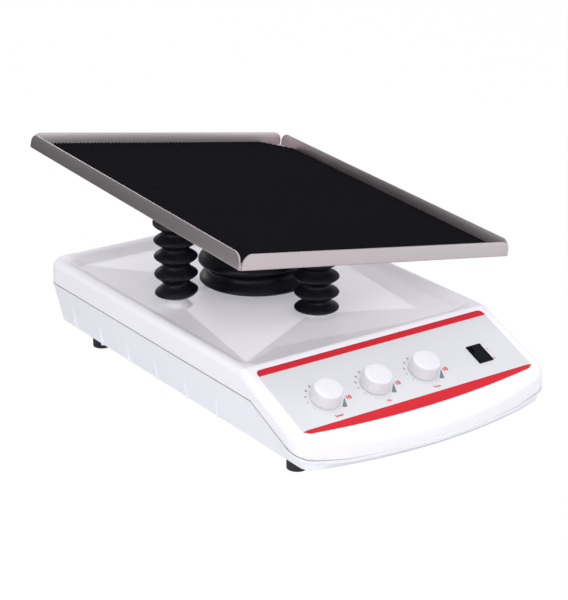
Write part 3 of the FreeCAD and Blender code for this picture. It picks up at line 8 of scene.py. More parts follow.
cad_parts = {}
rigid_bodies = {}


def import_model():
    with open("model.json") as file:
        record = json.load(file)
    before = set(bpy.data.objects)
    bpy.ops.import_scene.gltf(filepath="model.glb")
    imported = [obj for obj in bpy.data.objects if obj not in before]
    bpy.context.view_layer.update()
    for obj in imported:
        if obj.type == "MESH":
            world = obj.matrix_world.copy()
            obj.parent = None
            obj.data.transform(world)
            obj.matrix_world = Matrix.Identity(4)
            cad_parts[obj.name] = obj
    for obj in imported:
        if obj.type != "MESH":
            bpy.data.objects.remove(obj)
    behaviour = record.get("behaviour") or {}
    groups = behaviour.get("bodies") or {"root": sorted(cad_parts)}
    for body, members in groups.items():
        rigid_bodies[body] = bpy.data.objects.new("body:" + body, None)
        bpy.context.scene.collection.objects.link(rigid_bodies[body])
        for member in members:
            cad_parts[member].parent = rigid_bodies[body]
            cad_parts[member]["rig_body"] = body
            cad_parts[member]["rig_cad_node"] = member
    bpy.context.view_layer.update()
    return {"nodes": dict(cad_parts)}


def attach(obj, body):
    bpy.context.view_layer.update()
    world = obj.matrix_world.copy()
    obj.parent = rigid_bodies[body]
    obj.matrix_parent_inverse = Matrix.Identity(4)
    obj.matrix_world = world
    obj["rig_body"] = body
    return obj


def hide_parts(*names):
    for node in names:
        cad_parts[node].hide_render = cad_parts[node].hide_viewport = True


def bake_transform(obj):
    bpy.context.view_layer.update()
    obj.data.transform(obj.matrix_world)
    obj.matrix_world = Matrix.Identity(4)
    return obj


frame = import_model()

MM = 0.001

# The pivot of the tray and the tilt at which it stands
PIVOT = Vector((0.0, 54.1, 136.2)) * MM
TILT_X = 2.82
TILT_Y = 9.28
TRAY_FRAME = (
    Matrix.Translation(PIVOT)
    @ Matrix.Rotation(math.radians(TILT_X), 4, "X")
    @ Matrix.Rotation(math.radians(TILT_Y), 4, "Y")
)
# Where the two push rods come up, in mm
LEFT_ROD = (-91.8, 54.1)
FRONT_ROD = (0.0, -37.7)
# The control panel: x to the right, y up the slope, z outward
PANEL_ANGLE = math.radians(22.54)
PANEL_FRAME = Matrix.Translation(Vector((0.0, -120.3, 75.9)) * MM) @ Matrix.Rotation(PANEL_ANGLE, 4, "X")
OVERLAY_TOP = 0.1
PANEL_HALF_WIDTH = 124.0
# How far down the slope the knobs stand, in mm
CONTROL_S = 49.0
KNOBS = {"speed": -83.7, "tilt": -31.4, "time": 20.9}
DECK_TOP = 73.2
# The camera stands to the left of the front
CAMERA_AZIMUTH = math.radians(-35.11)
TO_CAMERA = Vector((math.sin(CAMERA_AZIMUTH), -math.cos(CAMERA_AZIMUTH), 0))


# Working by hand

def deselect_all():
    bpy.ops.object.select_all(action="DESELECT")


def take(obj):
    deselect_all()
    obj.select_set(True)
    bpy.context.view_layer.objects.active = obj


def start(name):
    """Names the primitive just added and opens it for editing."""
    obj = bpy.context.object
    obj.name = name
    obj.data.name = name
    bpy.ops.object.mode_set(mode="EDIT")
    return obj


def choose(obj, kind, test):
    bpy.ops.mesh.select_mode(type=kind)
    bpy.ops.mesh.select_all(action="DESELECT")
    mesh = bmesh.from_edit_mesh(obj.data)
    items = {"VERT": mesh.verts, "EDGE": mesh.edges, "FACE": mesh.faces}[kind]
    for item in items:
        if test(item):
            item.select_set(True)
    bmesh.update_edit_mesh(obj.data)


def middle(item):
    points = [vert.co for vert in item.verts]
    return sum(points, Vector()) / len(points)


def close_up():
    """Merges doubles, turns the faces outwards and leaves edit mode."""
    bpy.ops.mesh.select_mode(type="VERT")
    bpy.ops.mesh.select_all(action="SELECT")
    bpy.ops.mesh.remove_doubles(threshold=0.000002)
    bpy.ops.mesh.normals_make_consistent(inside=False)
    bpy.ops.object.mode_set(mode="OBJECT")


def modify(obj, kind, **settings):
    take(obj)
    modifier = obj.modifiers.new(kind.title(), kind)
    for key, value in settings.items():
        setattr(modifier, key, value)
    bpy.ops.object.modifier_apply(modifier=modifier.name)


def smooth(obj, angle):
    take(obj)
    bpy.ops.object.shade_smooth_by_angle(angle=math.radians(angle))


def put(obj, place):
    """Moves a finished piece to its place and leaves the place in its mesh."""
    take(obj)
    obj.matrix_world = place @ obj.matrix_world
    bpy.ops.object.transform_apply(location=True, rotation=True, scale=True)


def dress(obj, material, body, slot, *nodes):
    obj.data.materials.clear()
    obj.data.materials.append(material)
    if nodes:
        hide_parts(*nodes)
    if body:
        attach(obj, body)
    return obj


# Materials

def linear(code):
    channels = [int(code[k:k + 2], 16) / 255 for k in (1, 3, 5)]
    return [c / 12.92 if c <= 0.04045 else ((c + 0.055) / 1.055) ** 2.4 for c in channels] + [1.0]


def add(tree, kind, values=None, **settings):
    """Adds a node. A value that is a socket is linked, and any other is set."""
    made = tree.nodes.new(kind)
    for key, value in settings.items():
        setattr(made, key, value)
    for key, value in (values or {}).items():
        if isinstance(value, bpy.types.NodeSocket):
            tree.links.new(value, made.inputs[key])
        else:
            made.inputs[key].default_value = value
    return made


def new_material(name):
    material = bpy.data.materials.new(name)
    material.use_nodes = True
    material.node_tree.nodes.clear()
    return material, material.node_tree


def per_mm(size):
    """Noise scale whose features are about this many millimetres across."""
    return 1.0 / (size * MM)


def finish(name, colour, shade, roughness, spread, grain, bump, stretch=(1, 1, 1), **sockets):
    """A surface whose colour drifts between two shades, with a fine grain in its height and gloss."""
    material, tree = new_material(name)
    place = add(tree, "ShaderNodeTexCoord").outputs["Object"]
    stretched = add(tree, "ShaderNodeMapping", {"Vector": place, "Scale": stretch}).outputs["Vector"]
    cloud = add(tree, "ShaderNodeTexNoise", {"Vector": place, "Scale": per_mm(60), "Detail": 3.0}).outputs["Fac"]
    fine = add(tree, "ShaderNodeTexNoise", {"Vector": stretched, "Scale": per_mm(grain), "Detail": 4.0}).outputs["Fac"]
    colours = add(tree, "ShaderNodeMix", {0: cloud, 6: linear(colour), 7: linear(shade)}, data_type="RGBA")
    gloss = add(tree, "ShaderNodeMapRange", {"Value": fine, "To Min": roughness - spread, "To Max": roughness + spread})
    height = add(tree, "ShaderNodeBump", {"Height": fine, "Strength": 0.5, "Distance": bump * MM})
    values = {
        "Base Color": colours.outputs[2], "Roughness": gloss.outputs["Result"], "Normal": height.outputs["Normal"],
    }
    values.update({key.replace("_", " "): value for key, value in sockets.items()})
    shader = add(tree, "ShaderNodeBsdfPrincipled", values)
    add(tree, "ShaderNodeOutputMaterial", {"Surface": shader.outputs["BSDF"]})
    return material


# ABS moulded in a finely spark-eroded tool: an even, soft sheen on a cool white
WHITE_ABS = finish("moulded_white_abs", "#edebf2", "#e9e7ef", 0.42, 0.04, 0.9, 0.02)
# The same plastic in a bluer batch for the pan, a little duller
GREY_ABS = finish("moulded_grey_abs", "#e5e6ed", "#e0e1e9", 0.48, 0.04, 0.9, 0.02)
# Painted shade in the seam's gap: the plastic there is coloured dark grey along the sides, where the gap is in shade,
# and pale in front, where its line is fainter
SEAM_PAINTED_SHADE = finish("painted_seam_shade", "#eeeef4", "#74757c", 0.6, 0.04, 0.9, 0.02)
seam_shade_tree = SEAM_PAINTED_SHADE.node_tree
seam_shade_place = add(seam_shade_tree, "ShaderNodeSeparateXYZ", {0: seam_shade_tree.nodes["Texture Coordinate"].outputs["Object"]})
seam_shade_share = add(seam_shade_tree, "ShaderNodeMapRange", {
    "Value": seam_shade_place.outputs["Y"], "From Min": -0.222, "From Max": -0.195,
})
seam_shade_tree.links.new(seam_shade_share.outputs["Result"], seam_shade_tree.nodes["Mix"].inputs[0])
# Polycarbonate film printed on its back, with a fine velvet face
PANEL_FILM = finish("velvet_polycarbonate_film", "#d1d2d7", "#ced0d5", 0.38, 0.04, 0.5, 0.01)
# Screen inks under the film, and a flat grey for the wedge to the lower right of each knob
RED_INK = finish("red_screen_ink", "#c92733", "#c62430", 0.45, 0.04, 0.5, 0.005, Specular_IOR_Level=0.12)
WEDGE_GREY = finish("dial_wedge_grey", "#71757f", "#6d717b", 0.4, 0.04, 0.5, 0.005)
DARK_INK = finish("dark_red_screen_ink", "#6b4752", "#67434e", 0.4, 0.04, 0.5, 0.005)
PALE_INK = finish("pale_red_screen_ink", "#a58089", "#a07b84", 0.4, 0.04, 0.5, 0.005)
# Polished ABS knobs: brighter and glossier than the case
KNOB_ABS = finish("polished_white_abs", "#dddce3", "#dad9e0", 0.27, 0.03, 0.6, 0.005)
# Natural acetal, turned: waxy white
ACETAL = finish("turned_white_acetal", "#f2f1ee", "#eeede9", 0.35, 0.04, 0.6, 0.01)
BLACK_ACETAL = finish("turned_black_acetal", "#17171a", "#141417", 0.36, 0.05, 0.6, 0.01)
# Moulded neoprene bellows: nearly black with a soft broad gloss
NEOPRENE = finish("moulded_black_neoprene", "#0b0b11", "#0f0f15", 0.3, 0.05, 1.4, 0.03, Specular_IOR_Level=0.2)
# Natural rubber feet: matt, with a bloom
FOOT_RUBBER = finish("matt_black_rubber", "#17171a", "#1c1c20", 0.7, 0.06, 1.2, 0.04)
# Extruded ribbed rubber matting
MAT_RUBBER = finish("ribbed_black_rubber", "#0c0b0f", "#0f0e13", 0.85, 0.05, 1.5, 0.02, Specular_IOR_Level=0.04)
# Glass-filled nylon of the switch and the inlet
BLACK_NYLON = finish("moulded_black_nylon", "#07080a", "#090a0d", 0.35, 0.05, 0.7, 0.02, Specular_IOR_Level=0.12)
# Stainless sheet with a brushed grain that runs level, so that its gloss spreads up and down
BRUSHED_SHEET = finish("brushed_stainless_sheet", "#c9c0c3", "#c3babe", 0.36, 0.06, 0.7, 0.02, stretch=(1, 1, 14),
                       Metallic=1.0, Anisotropic=0.7, Anisotropic_Rotation=0.25)
brushed = BRUSHED_SHEET.node_tree
grain_way = add(brushed, "ShaderNodeTangent", direction_type="RADIAL", axis="Z")
brushed.links.new(grain_way.outputs["Tangent"], brushed.nodes["Principled BSDF"].inputs["Tangent"])
# Zinc-plated pressed steel
PLATED_STEEL = finish("zinc_plated_steel", "#a9adb2", "#9fa4aa", 0.4, 0.08, 4.0, 0.02, Metallic=1.0)
GROUND_STEEL = finish("ground_steel", "#b9babd", "#b0b1b5", 0.25, 0.05, 0.5, 0.01, Metallic=1.0)
DARK_STEEL = finish("blackened_steel", "#5f6064", "#57585c", 0.45, 0.08, 1.0, 0.02, Metallic=1.0)
CAST_ALUMINIUM = finish("machined_aluminium", "#c3c4c8", "#bcbdc2", 0.35, 0.06, 0.7, 0.02, Metallic=1.0)
BRONZE = finish("sintered_bronze", "#b98a4f", "#ae7f45", 0.45, 0.08, 0.4, 0.02, Metallic=1.0)
BRASS = finish("hobbed_brass", "#d0b062", "#c6a658", 0.3, 0.05, 0.5, 0.01, Metallic=1.0)
MOTOR_PAINT = finish("grey_stove_enamel", "#43464b", "#3d4045", 0.45, 0.05, 0.8, 0.02)
GREEN_BOARD = finish("green_solder_resist", "#1f6b3c", "#1a6236", 0.35, 0.05, 1.0, 0.01)

NODE_FINISH = {
    "foot_studs": PLATED_STEEL, "case_screws": PLATED_STEEL, "chassis_plate": PLATED_STEEL,
    "chassis_screws": PLATED_STEEL, "centre_post": CAST_ALUMINIUM, "post_bolts": PLATED_STEEL,
    "post_bushes": BRONZE, "yoke_bushes": BRONZE, "spider": DARK_STEEL, "trunnion_pins": GROUND_STEEL,
    "tray_bracket": DARK_STEEL, "tray_yoke": DARK_STEEL, "tray_screws": PLATED_STEEL, "rod_sockets": DARK_STEEL,
    "potentiometers": DARK_STEEL, "switch_body": BLACK_NYLON, "switch_rocker": BLACK_NYLON,
    "circuit_board": GREEN_BOARD, "power_inlet": BLACK_NYLON, "inlet_pins": GROUND_STEEL,
    "power_supply": GREEN_BOARD, "supply_spacers": ACETAL, "panel_overlay": PANEL_FILM,
}
for side in ("left", "front"):
    NODE_FINISH[side + "_rack_rod"] = GROUND_STEEL
    NODE_FINISH[side + "_ball_stud"] = GROUND_STEEL
    NODE_FINISH[side + "_rod_cap"] = BLACK_ACETAL
    NODE_FINISH[side + "_pinion"] = BRASS
    NODE_FINISH[side + "_gear_motor"] = MOTOR_PAINT
    NODE_FINISH[side + "_motor_bracket"] = PLATED_STEEL
for knob_name in KNOBS:
    NODE_FINISH[knob_name + "_shaft"] = GROUND_STEEL
for node_name, node_finish in NODE_FINISH.items():
    mesh = frame["nodes"][node_name].data
    mesh.materials.clear()
    mesh.materials.append(node_finish)


# Case

def merged_copy(node_name, name, angle):
    """A copy of a solid whose loose triangles are merged, so that its curves shade smoothly."""
    source = frame["nodes"][node_name]
    copy = source.copy()
    copy.data = source.data.copy()
    bpy.context.scene.collection.objects.link(copy)
    copy.parent = None
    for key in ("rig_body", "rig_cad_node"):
        del copy[key]
    take(copy)
    start(name)
    bpy.ops.mesh.select_mode(type="VERT")
    bpy.ops.mesh.select_all(action="SELECT")
    bpy.ops.mesh.remove_doubles(threshold=0.000005)
    # flat faces in one piece keep their own normal at every corner
    bpy.ops.mesh.dissolve_limited(angle_limit=math.radians(0.01))
    bpy.ops.object.mode_set(mode="OBJECT")
    smooth(copy, angle)
    modify(copy, "WEIGHTED_NORMAL", keep_sharp=True, weight=80)
    return copy


def seam_height(y):
    """Height of the seam in mm: level along the sides and low in front, with a slope between."""
    high, low, bend = 55.4, 22.0, -131.5
    return min(high, max(low, high + (y - bend) * math.tan(PANEL_ANGLE)))


def part_off_gap(obj, name, low, high):
    """Separates the faces that lie in the seam's gap, so that they can take painted shade that draws the seam as a
    line.
    """
    def in_gap(face):
        rises = [vert.co.z / MM - seam_height(vert.co.y / MM) for vert in face.verts]
        return min(rises) > low and max(rises) < high

    take(obj)
    bpy.ops.object.mode_set(mode="EDIT")
    choose(obj, "FACE", in_gap)
    bpy.ops.mesh.separate(type="SELECTED")
    bpy.ops.object.mode_set(mode="OBJECT")
    piece = [other for other in bpy.context.selected_objects if other != obj][0]
    piece.name = name
    piece.data.name = name
    return piece


cover = merged_copy("top_cover", "moulded_cover", 20)
pan = merged_copy("bottom_pan", "moulded_pan", 20)
cover_gap_shade = part_off_gap(cover, "seam_gap_painted_shade_above", -0.05, 0.85)
pan_gap_shade = part_off_gap(pan, "seam_gap_painted_shade_below", -0.05, 0.05)
dress(cover, WHITE_ABS, "base", "cover_plastic", "top_cover")
dress(pan, GREY_ABS, "base", "pan_plastic", "bottom_pan")
# the faces in the seam's gap carry painted shade: dark grey along the sides, pale in front
dress(cover_gap_shade, SEAM_PAINTED_SHADE, "base", "cover_plastic")
dress(pan_gap_shade, SEAM_PAINTED_SHADE, "base", "pan_plastic")


# Turned and moulded round pieces

def turned(name, profile, segments, closed=False, lean=None):
    """Extrudes a ring along a profile of (radius, height) in mm; a closed profile ends where it starts.

    lean gives the tilt in degrees of the ring at a height.
    """
    radius, height = profile[0]
    deselect_all()
    bpy.ops.mesh.primitive_circle_add(vertices=segments, radius=radius * MM, location=(0, 0, 0))
    obj = start(name)
    bpy.ops.mesh.select_mode(type="EDGE")
    bpy.ops.mesh.select_all(action="SELECT")
    bpy.ops.transform.translate(value=(0, 0, height * MM))
    if not closed:
        bpy.ops.mesh.edge_face_add()
        bpy.ops.mesh.select_all(action="SELECT")
    for next_radius, next_height in profile[1:]:
        bpy.ops.mesh.extrude_region_move(TRANSFORM_OT_translate={"value": (0, 0, (next_height - height) * MM)})
        factor = next_radius / radius
        bpy.ops.transform.resize(value=(factor, factor, 1))
        if lean:
            step = math.radians(lean(next_height) - lean(height))
            bpy.ops.transform.rotate(value=step, orient_axis="Y", center_override=(0, 0, next_height * MM))
        radius, height = next_radius, next_height
    close_up()
    return obj


def fillet_points(centre_r, centre_h, radius, start_angle, end_angle, steps):
    points = []
    for k in range(steps + 1):
        angle = math.radians(start_angle + (end_angle - start_angle) * k / steps)
        points.append((centre_r + radius * math.cos(angle), centre_h + radius * math.sin(angle)))
    return points


def fold_share(step):
    """How far out a fold reaches, from 1 at its thin rim to 0 in the wide valleys beside it."""
    return ((1 + math.cos(math.pi * step)) / 2) ** 1.05


FOLD_STEPS = (-1, -0.8, -0.64, -0.5, -0.38, -0.28, -0.19, -0.11, -0.05, 0.05, 0.11, 0.19, 0.28, 0.38, 0.5, 0.64, 0.8)


def fold_profile(low, high, centres, neck, valley, peak):
    """Outside of a bellows: a neck, then a thin-rimmed fold round each centre up to high."""
    borders = [low] + [(a + b) / 2 for a, b in zip(centres, centres[1:])] + [high]
    points = []
    for k, centre in enumerate(centres):
        for step in FOLD_STEPS:
            reach = borders[k + 1] - centre if step > 0 else centre - borders[k]
            foot = neck if k == 0 and step < 0 else valley
            share = fold_share(step) ** (0.5 if k == 0 and step < 0 else 1.0)
            if reach > 1.0:
                points.append((foot + (peak - foot) * share, centre + reach * step))
    points.append((valley if high - centres[-1] > 1.0 else peak, high))
    return points


def walled(outside, wall):
    """Closes an outside profile with an inner wall."""
    inside = [(radius - wall, height) for radius, height in reversed(outside)]
    return outside + inside + outside[:1]


SMALL_VALLEY = 12.4
SMALL_WALL = 1.2


def small_bellows(side, place, low, high, centres, neck, peak, lean=None):
    """Bellows round the push rod of one side."""
    x, y = place
    outside = fold_profile(low, high, centres, neck, SMALL_VALLEY, peak)
    obj = turned(side + "_rod_bellows", walled(outside, SMALL_WALL), 56, closed=True, lean=lean)
    # the lean is about Y until the piece is turned to face the camera's left
    put(obj, Matrix.Translation(Vector((x, y, 0)) * MM) @ Matrix.Rotation(math.radians(-35), 4, "Z"))
    smooth(obj, 50)
    dress(obj, NEOPRENE, None, "bellows_rubber", side + "_bellows")
    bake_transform(obj)


LEFT_LOW = 80.6
LEFT_FOLDS = (87.1, 104.3, 120.9, 136.3, 151.6)
FRONT_FOLDS = (80.2, 94.7, 109.9, 124.7)


def sagging(height):
    """Tilt in degrees of the left bellows: its lowest fold hangs askew on the collar."""
    if height < LEFT_FOLDS[0]:
        return 6.0 * (height - LEFT_LOW) / 6.5
    return max(0.0, 6.0 - (height - LEFT_FOLDS[0]) * 0.28)


small_bellows("left", LEFT_ROD, LEFT_LOW, LEFT_FOLDS[-1], LEFT_FOLDS, 9.75, 20.1, sagging)
small_bellows("front", FRONT_ROD, 76.2, 131.97, FRONT_FOLDS, 10.6, 20.6)


def guide(name, place, outline, segments, *nodes):
    """Guide of a push rod: its outline above the deck, then the bore and the part below the deck."""
    bore = [(8.5, 84.0), (6.1, 84.0), (6.1, 70.2), (8.5, 70.2), (8.5, DECK_TOP), outline[0]]
    obj = turned(name, outline + bore, segments, closed=True)
    put(obj, Matrix.Translation(Vector((place[0], place[1], 0)) * MM))
    smooth(obj, 35)
    dress(obj, WHITE_ABS, "base", "guide_acetal", *nodes)


# the left guide has a flare at its foot
flare = [(15.0, DECK_TOP), (13.6, 73.5), (12.2, 74.2), (11.0, 75.3), (10.3, 76.5), (10.05, 77.6)]
left_outline = flare + [(10.0, 80.4), (9.6, 80.8), (8.5, 80.8)]
front_outline = [(10.0, DECK_TOP), (10.0, 76.6), (8.5, 76.6)]
guide("left_guide_collar", LEFT_ROD, left_outline, 56, "guide_bushes")
guide("front_guide_bush", FRONT_ROD, front_outline, 48)


WIDE_HEIGHT = 79.3
WIDE_FOLDS = (9.9, 29.5, 49.6, 69.4)
WIDE_NECK = 26.0
WIDE_WALL = 1.4


def centre_bellows_profile():
    """Radius and height above the deck, as a share of the whole, of the wide bellows."""
    folds = fold_profile(1.2, WIDE_HEIGHT, WIDE_FOLDS, WIDE_NECK, 46.5, 55.5)
    return [(WIDE_NECK, 0.0)] + [(radius, lift / WIDE_HEIGHT) for radius, lift in folds]


def slump(share):
    """Lean in degrees of a ring of the wide bellows towards the side that the camera sees at the left."""
    stops = ((0.0, 0.0), (0.125, 2.3), (0.37, 6.2), (0.75, 0.0), (1.0, 0.0))
    for (a, low), (b, high) in zip(stops, stops[1:]):
        if share <= b:
            return low + (high - low) * (share - a) / (b - a)
    return 0.0


def centre_bellows_half(name, first, last, node_name=None):
    """Half of the wide bellows, its rings turned step by step from the deck's level to the tray's."""
    low = DECK_TOP - PIVOT.z / MM
    high = 16.3
    chosen = [ring for ring in centre_bellows_profile() if first - 0.001 <= ring[1] <= last + 0.001]
    sheet = chosen + [(radius - WIDE_WALL, share) for radius, share in reversed(chosen)] + chosen[:1]
    deselect_all()
    bpy.ops.mesh.primitive_circle_add(vertices=96, radius=sheet[0][0] * MM)
    obj = start(name)
    bpy.ops.mesh.select_mode(type="EDGE")
    bpy.ops.mesh.select_all(action="SELECT")
    place = Matrix.Identity(4)
    for k, (radius, share) in enumerate(sheet):
        if k:
            bpy.ops.mesh.extrude_region_move()
        level = Matrix.Translation((0, 0, (low + (high - low) * share) * MM))
        turn_x = Matrix.Rotation(math.radians(TILT_X * share), 4, "X")
        turn = turn_x @ Matrix.Rotation(math.radians(TILT_Y * share), 4, "Y")
        askew = Matrix.Rotation(math.radians(slump(share)), 4, TO_CAMERA)
        wanted = Matrix.Translation(PIVOT) @ turn @ level @ askew @ Matrix.Scale(radius / sheet[0][0], 4)
        mesh = bmesh.from_edit_mesh(obj.data)
        bmesh.ops.transform(mesh, matrix=wanted @ place.inverted(), verts=[v for v in mesh.verts if v.select])
        bmesh.update_edit_mesh(obj.data)
        place = wanted
    close_up()
    smooth(obj, 50)
    return dress(obj, NEOPRENE, None, "bellows_rubber", *([node_name] if node_name else []))


# the middle crease, where the lower half meets the upper one
CREASE_SHARE = (WIDE_FOLDS[1] + WIDE_FOLDS[2]) / 2 / WIDE_HEIGHT
lower_half = centre_bellows_half("centre_bellows_lower", 0.0, CREASE_SHARE, "centre_bellows")
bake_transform(lower_half)
upper_half = centre_bellows_half("centre_bellows_upper", CREASE_SHARE, 1.0)
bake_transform(upper_half)


# Knobs

def make_knob(name, x):
    base = 0.9
    height = 13.4
    profile = [(3.1, 10.0), (3.1, 4.9), (11.9, 4.9), (12.0, base)]
    profile += [(13.45, base), (13.7, base + 0.25), (13.35, 3.0)]
    profile += fillet_points(10.7, height - 2.15, 2.1, 5, 84, 7)
    profile += [(8.0, height + 0.08), (2.5, height + 0.1)]
    obj = turned(name + "_knob_cap", profile, 72)
    put(obj, PANEL_FRAME @ Matrix.Translation(Vector((x, -CONTROL_S, 0)) * MM))
    smooth(obj, 35)
    dress(obj, KNOB_ABS, name + "_knob", "knob_plastic", name + "_knob")


for knob_name, knob_x in KNOBS.items():
    make_knob(knob_name, knob_x)


# Feet

def foot(index, x, y):
    profile = [(8.4, 0.0), (8.8, 0.15), (9.0, 0.6), (9.0, 14.5), (8.7, 16.0)]
    obj = turned("rubber_foot_%d" % index, profile, 48)
    put(obj, Matrix.Translation(Vector((x, y, 0)) * MM))
    smooth(obj, 35)
    dress(obj, FOOT_RUBBER, "base", "foot_rubber", *(["feet"] if index == 1 else []))


FOOT_PLACES = [(-110.5, -163), (-110.5, 163), (110.5, -163), (110.5, 163)]
for foot_number, (foot_x, foot_y) in enumerate(FOOT_PLACES, start=1):
    foot(foot_number, foot_x, foot_y)


# Tray

def on_floor(edge, away, limit):
    """Whether an edge is the floor's border on the side that away points to."""
    inside = all(abs(vert.co[k]) < limit[k] + 1e-6 for vert in edge.verts for k in (0, 1, 2))
    return inside and abs(middle(edge).dot(away) - abs(limit.dot(away))) < 1e-6


def make_tray():
    """The outer skin of the folded sheet, drawn edge by edge, then thickened inwards."""
    half_x, half_y = 149.0, 180.3
    gap, lip, sheet, under = 2.0, 14.15, 1.5, 20.3
    fold, end = 1.5, 9.0
    deselect_all()
    bpy.ops.mesh.primitive_plane_add(size=2 * MM, location=(0, 0, 0))
    obj = start("folded_tray")
    bpy.ops.transform.resize(value=(half_x - gap, half_y - gap, 1))
    for out, half, length in ((Vector((1, 0, 0)), half_x, half_y - gap), (Vector((0, 1, 0)), half_y, half_x - gap)):
        for side in (-1, 1):
            away = out * side
            limit = Vector((half_x - gap, half_y - gap, 0.0)) * MM
            choose(obj, "EDGE", lambda edge: on_floor(edge, away, limit))
            bpy.ops.mesh.extrude_region_move(TRANSFORM_OT_translate={"value": away * (gap - fold) * MM})
            for k in range(4):
                before, after = math.radians(22.5 * k), math.radians(22.5 * (k + 1))
                step = away * (math.sin(after) - math.sin(before)) * fold
                step += Vector((0, 0, math.cos(before) - math.cos(after))) * fold
                bpy.ops.mesh.extrude_region_move(TRANSFORM_OT_translate={"value": step * MM})
            bpy.ops.mesh.extrude_region_move(TRANSFORM_OT_translate={"value": (0, 0, (lip - end - fold) * MM)})
            for k in range(9):
                before, after = math.radians(10 * k), math.radians(10 * (k + 1))
                rise = (math.sin(after) - math.sin(before)) * end
                bpy.ops.mesh.extrude_region_move(TRANSFORM_OT_translate={"value": (0, 0, rise * MM)})
                factor = (length - end + end * math.cos(after)) / (length - end + end * math.cos(before))
                value = (1, factor, 1) if out.x else (factor, 1, 1)
                bpy.ops.transform.resize(value=value, center_override=(0, 0, 0))
    close_up()
    if obj.data.polygons[0].normal.z > 0:
        take(obj)
        bpy.ops.object.mode_set(mode="EDIT")
        bpy.ops.mesh.select_all(action="SELECT")
        bpy.ops.mesh.flip_normals()
        bpy.ops.object.mode_set(mode="OBJECT")
    put(obj, Matrix.Translation((0, 0, under * MM)))
    modify(obj, "SOLIDIFY", thickness=sheet * MM, offset=-1.0)
    return obj


tray = make_tray()
modify(tray, "BEVEL", width=0.2 * MM, segments=2, angle_limit=math.radians(60))
put(tray, TRAY_FRAME)
smooth(tray, 40)
dress(tray, BRUSHED_SHEET, "tray", "tray_steel", "tray")


def make_mat():
    """A grid folded into ribs that run front to back, with its corners cut off and a flat underside."""
    half_x, half_y = 147.2, 178.5
    cut = 25.0
    low, thickness, rib = 21.8, 3.0, 0.8
    ribs = 74
    deselect_all()
    bpy.ops.mesh.primitive_grid_add(x_subdivisions=4 * ribs, y_subdivisions=1, size=2 * MM, location=(0, 0, 0))
    obj = start("ribbed_mat")
    bpy.ops.mesh.select_all(action="SELECT")
    bpy.ops.transform.resize(value=(half_x, half_y, 1))
    step = 2 * half_x / (4 * ribs)
    choose(obj, "VERT", lambda vert: round((vert.co.x / MM + half_x) / step) % 4 in (1, 2))
    bpy.ops.transform.translate(value=(0, 0, rib * MM))
    for sign_x in (-1, 1):
        for sign_y in (-1, 1):
            bpy.ops.mesh.select_mode(type="VERT")
            bpy.ops.mesh.select_all(action="SELECT")
            corner = (sign_x * (half_x - cut) * MM, sign_y * half_y * MM, 0)
            bpy.ops.mesh.bisect(plane_co=corner, plane_no=(sign_x, sign_y, 0), clear_outer=True)
    bpy.ops.mesh.select_all(action="SELECT")
    bpy.ops.mesh.extrude_region_move(TRANSFORM_OT_translate={"value": (0, 0, -1 * MM)})
    bpy.ops.transform.resize(value=(1, 1, 0))
    close_up()
    bottom = min(vert.co.z for vert in obj.data.vertices)
    take(obj)
    bpy.ops.object.mode_set(mode="EDIT")
    choose(obj, "VERT", lambda vert: vert.co.z < bottom + 1e-7)
    bpy.ops.transform.translate(value=(0, 0, -bottom - (thickness - rib) * MM))
    close_up()
    put(obj, TRAY_FRAME @ Matrix.Translation((0, 0, (low + thickness - rib) * MM)))
    dress(obj, MAT_RUBBER, "tray", "mat_rubber", "mat")


make_mat()


# Printing on the panel

def low_edge(x):
    """How far down the slope the panel's bowed lower edge lies at x."""
    side, mid, half = 79.0, 87.0, PANEL_HALF_WIDTH
    sag = mid - side
    radius = (half ** 2 + sag ** 2) / (2 * sag)
    return mid - radius + math.sqrt(radius ** 2 - x ** 2)


def printed(name, points, material):
    """A patch of ink from its outline in (x, s) millimetres on the panel."""
    deselect_all()
    bpy.ops.mesh.primitive_circle_add(vertices=len(points), radius=MM, fill_type="NGON")
    obj = start(name)
    mesh = bmesh.from_edit_mesh(obj.data)
    mesh.verts.ensure_lookup_table()
    for vert, (x, s) in zip(mesh.verts, points):
        vert.co = Vector((x, -s, OVERLAY_TOP)) * MM
    bmesh.update_edit_mesh(obj.data)
    bpy.ops.mesh.select_all(action="SELECT")
    bpy.ops.mesh.extrude_region_move(TRANSFORM_OT_translate={"value": (0, 0, 0.04 * MM)})
    close_up()
    put(obj, PANEL_FRAME)
    dress(obj, material, "base", "overlay_film")


top_band = fillet_points(-119, 5, 5, 180, 270, 6) + fillet_points(119, 5, 5, 270, 360, 6)
top_band += [(PANEL_HALF_WIDTH, 7.2), (-PANEL_HALF_WIDTH, 7.2)]
printed("upper_red_band", top_band, RED_INK)
low_band = [(-118.5 + 237.0 * k / 48, 75.3) for k in range(49)]
low_band += [(123.9, 76.0), (PANEL_HALF_WIDTH, 76.5)]
low_band += [(119.0 - 238.0 * k / 60, low_edge(119.0 - 238.0 * k / 60)) for k in range(61)]
low_band += [(-PANEL_HALF_WIDTH, 76.5), (-123.9, 76.0)]
printed("lower_red_band", low_band, RED_INK)


def lettering(name, words, size, x, s, material, weight=0.0):
    """Words printed on the panel; weight thickens their strokes by that many millimetres."""
    deselect_all()
    bpy.ops.object.text_add(location=(0, 0, 0))
    obj = bpy.context.object
    obj.name = name
    obj.data.body = words
    obj.data.size = size * MM
    obj.data.align_x = "CENTER"
    obj.data.align_y = "CENTER"
    obj.data.offset = weight * MM
    obj.data.extrude = 0.02 * MM
    obj.data.resolution_u = 3
    bpy.ops.object.convert(target="MESH")
    obj = bpy.context.object
    put(obj, PANEL_FRAME @ Matrix.Translation(Vector((x, -s, OVERLAY_TOP + 0.02)) * MM))
    dress(obj, material, "base", "overlay_film")


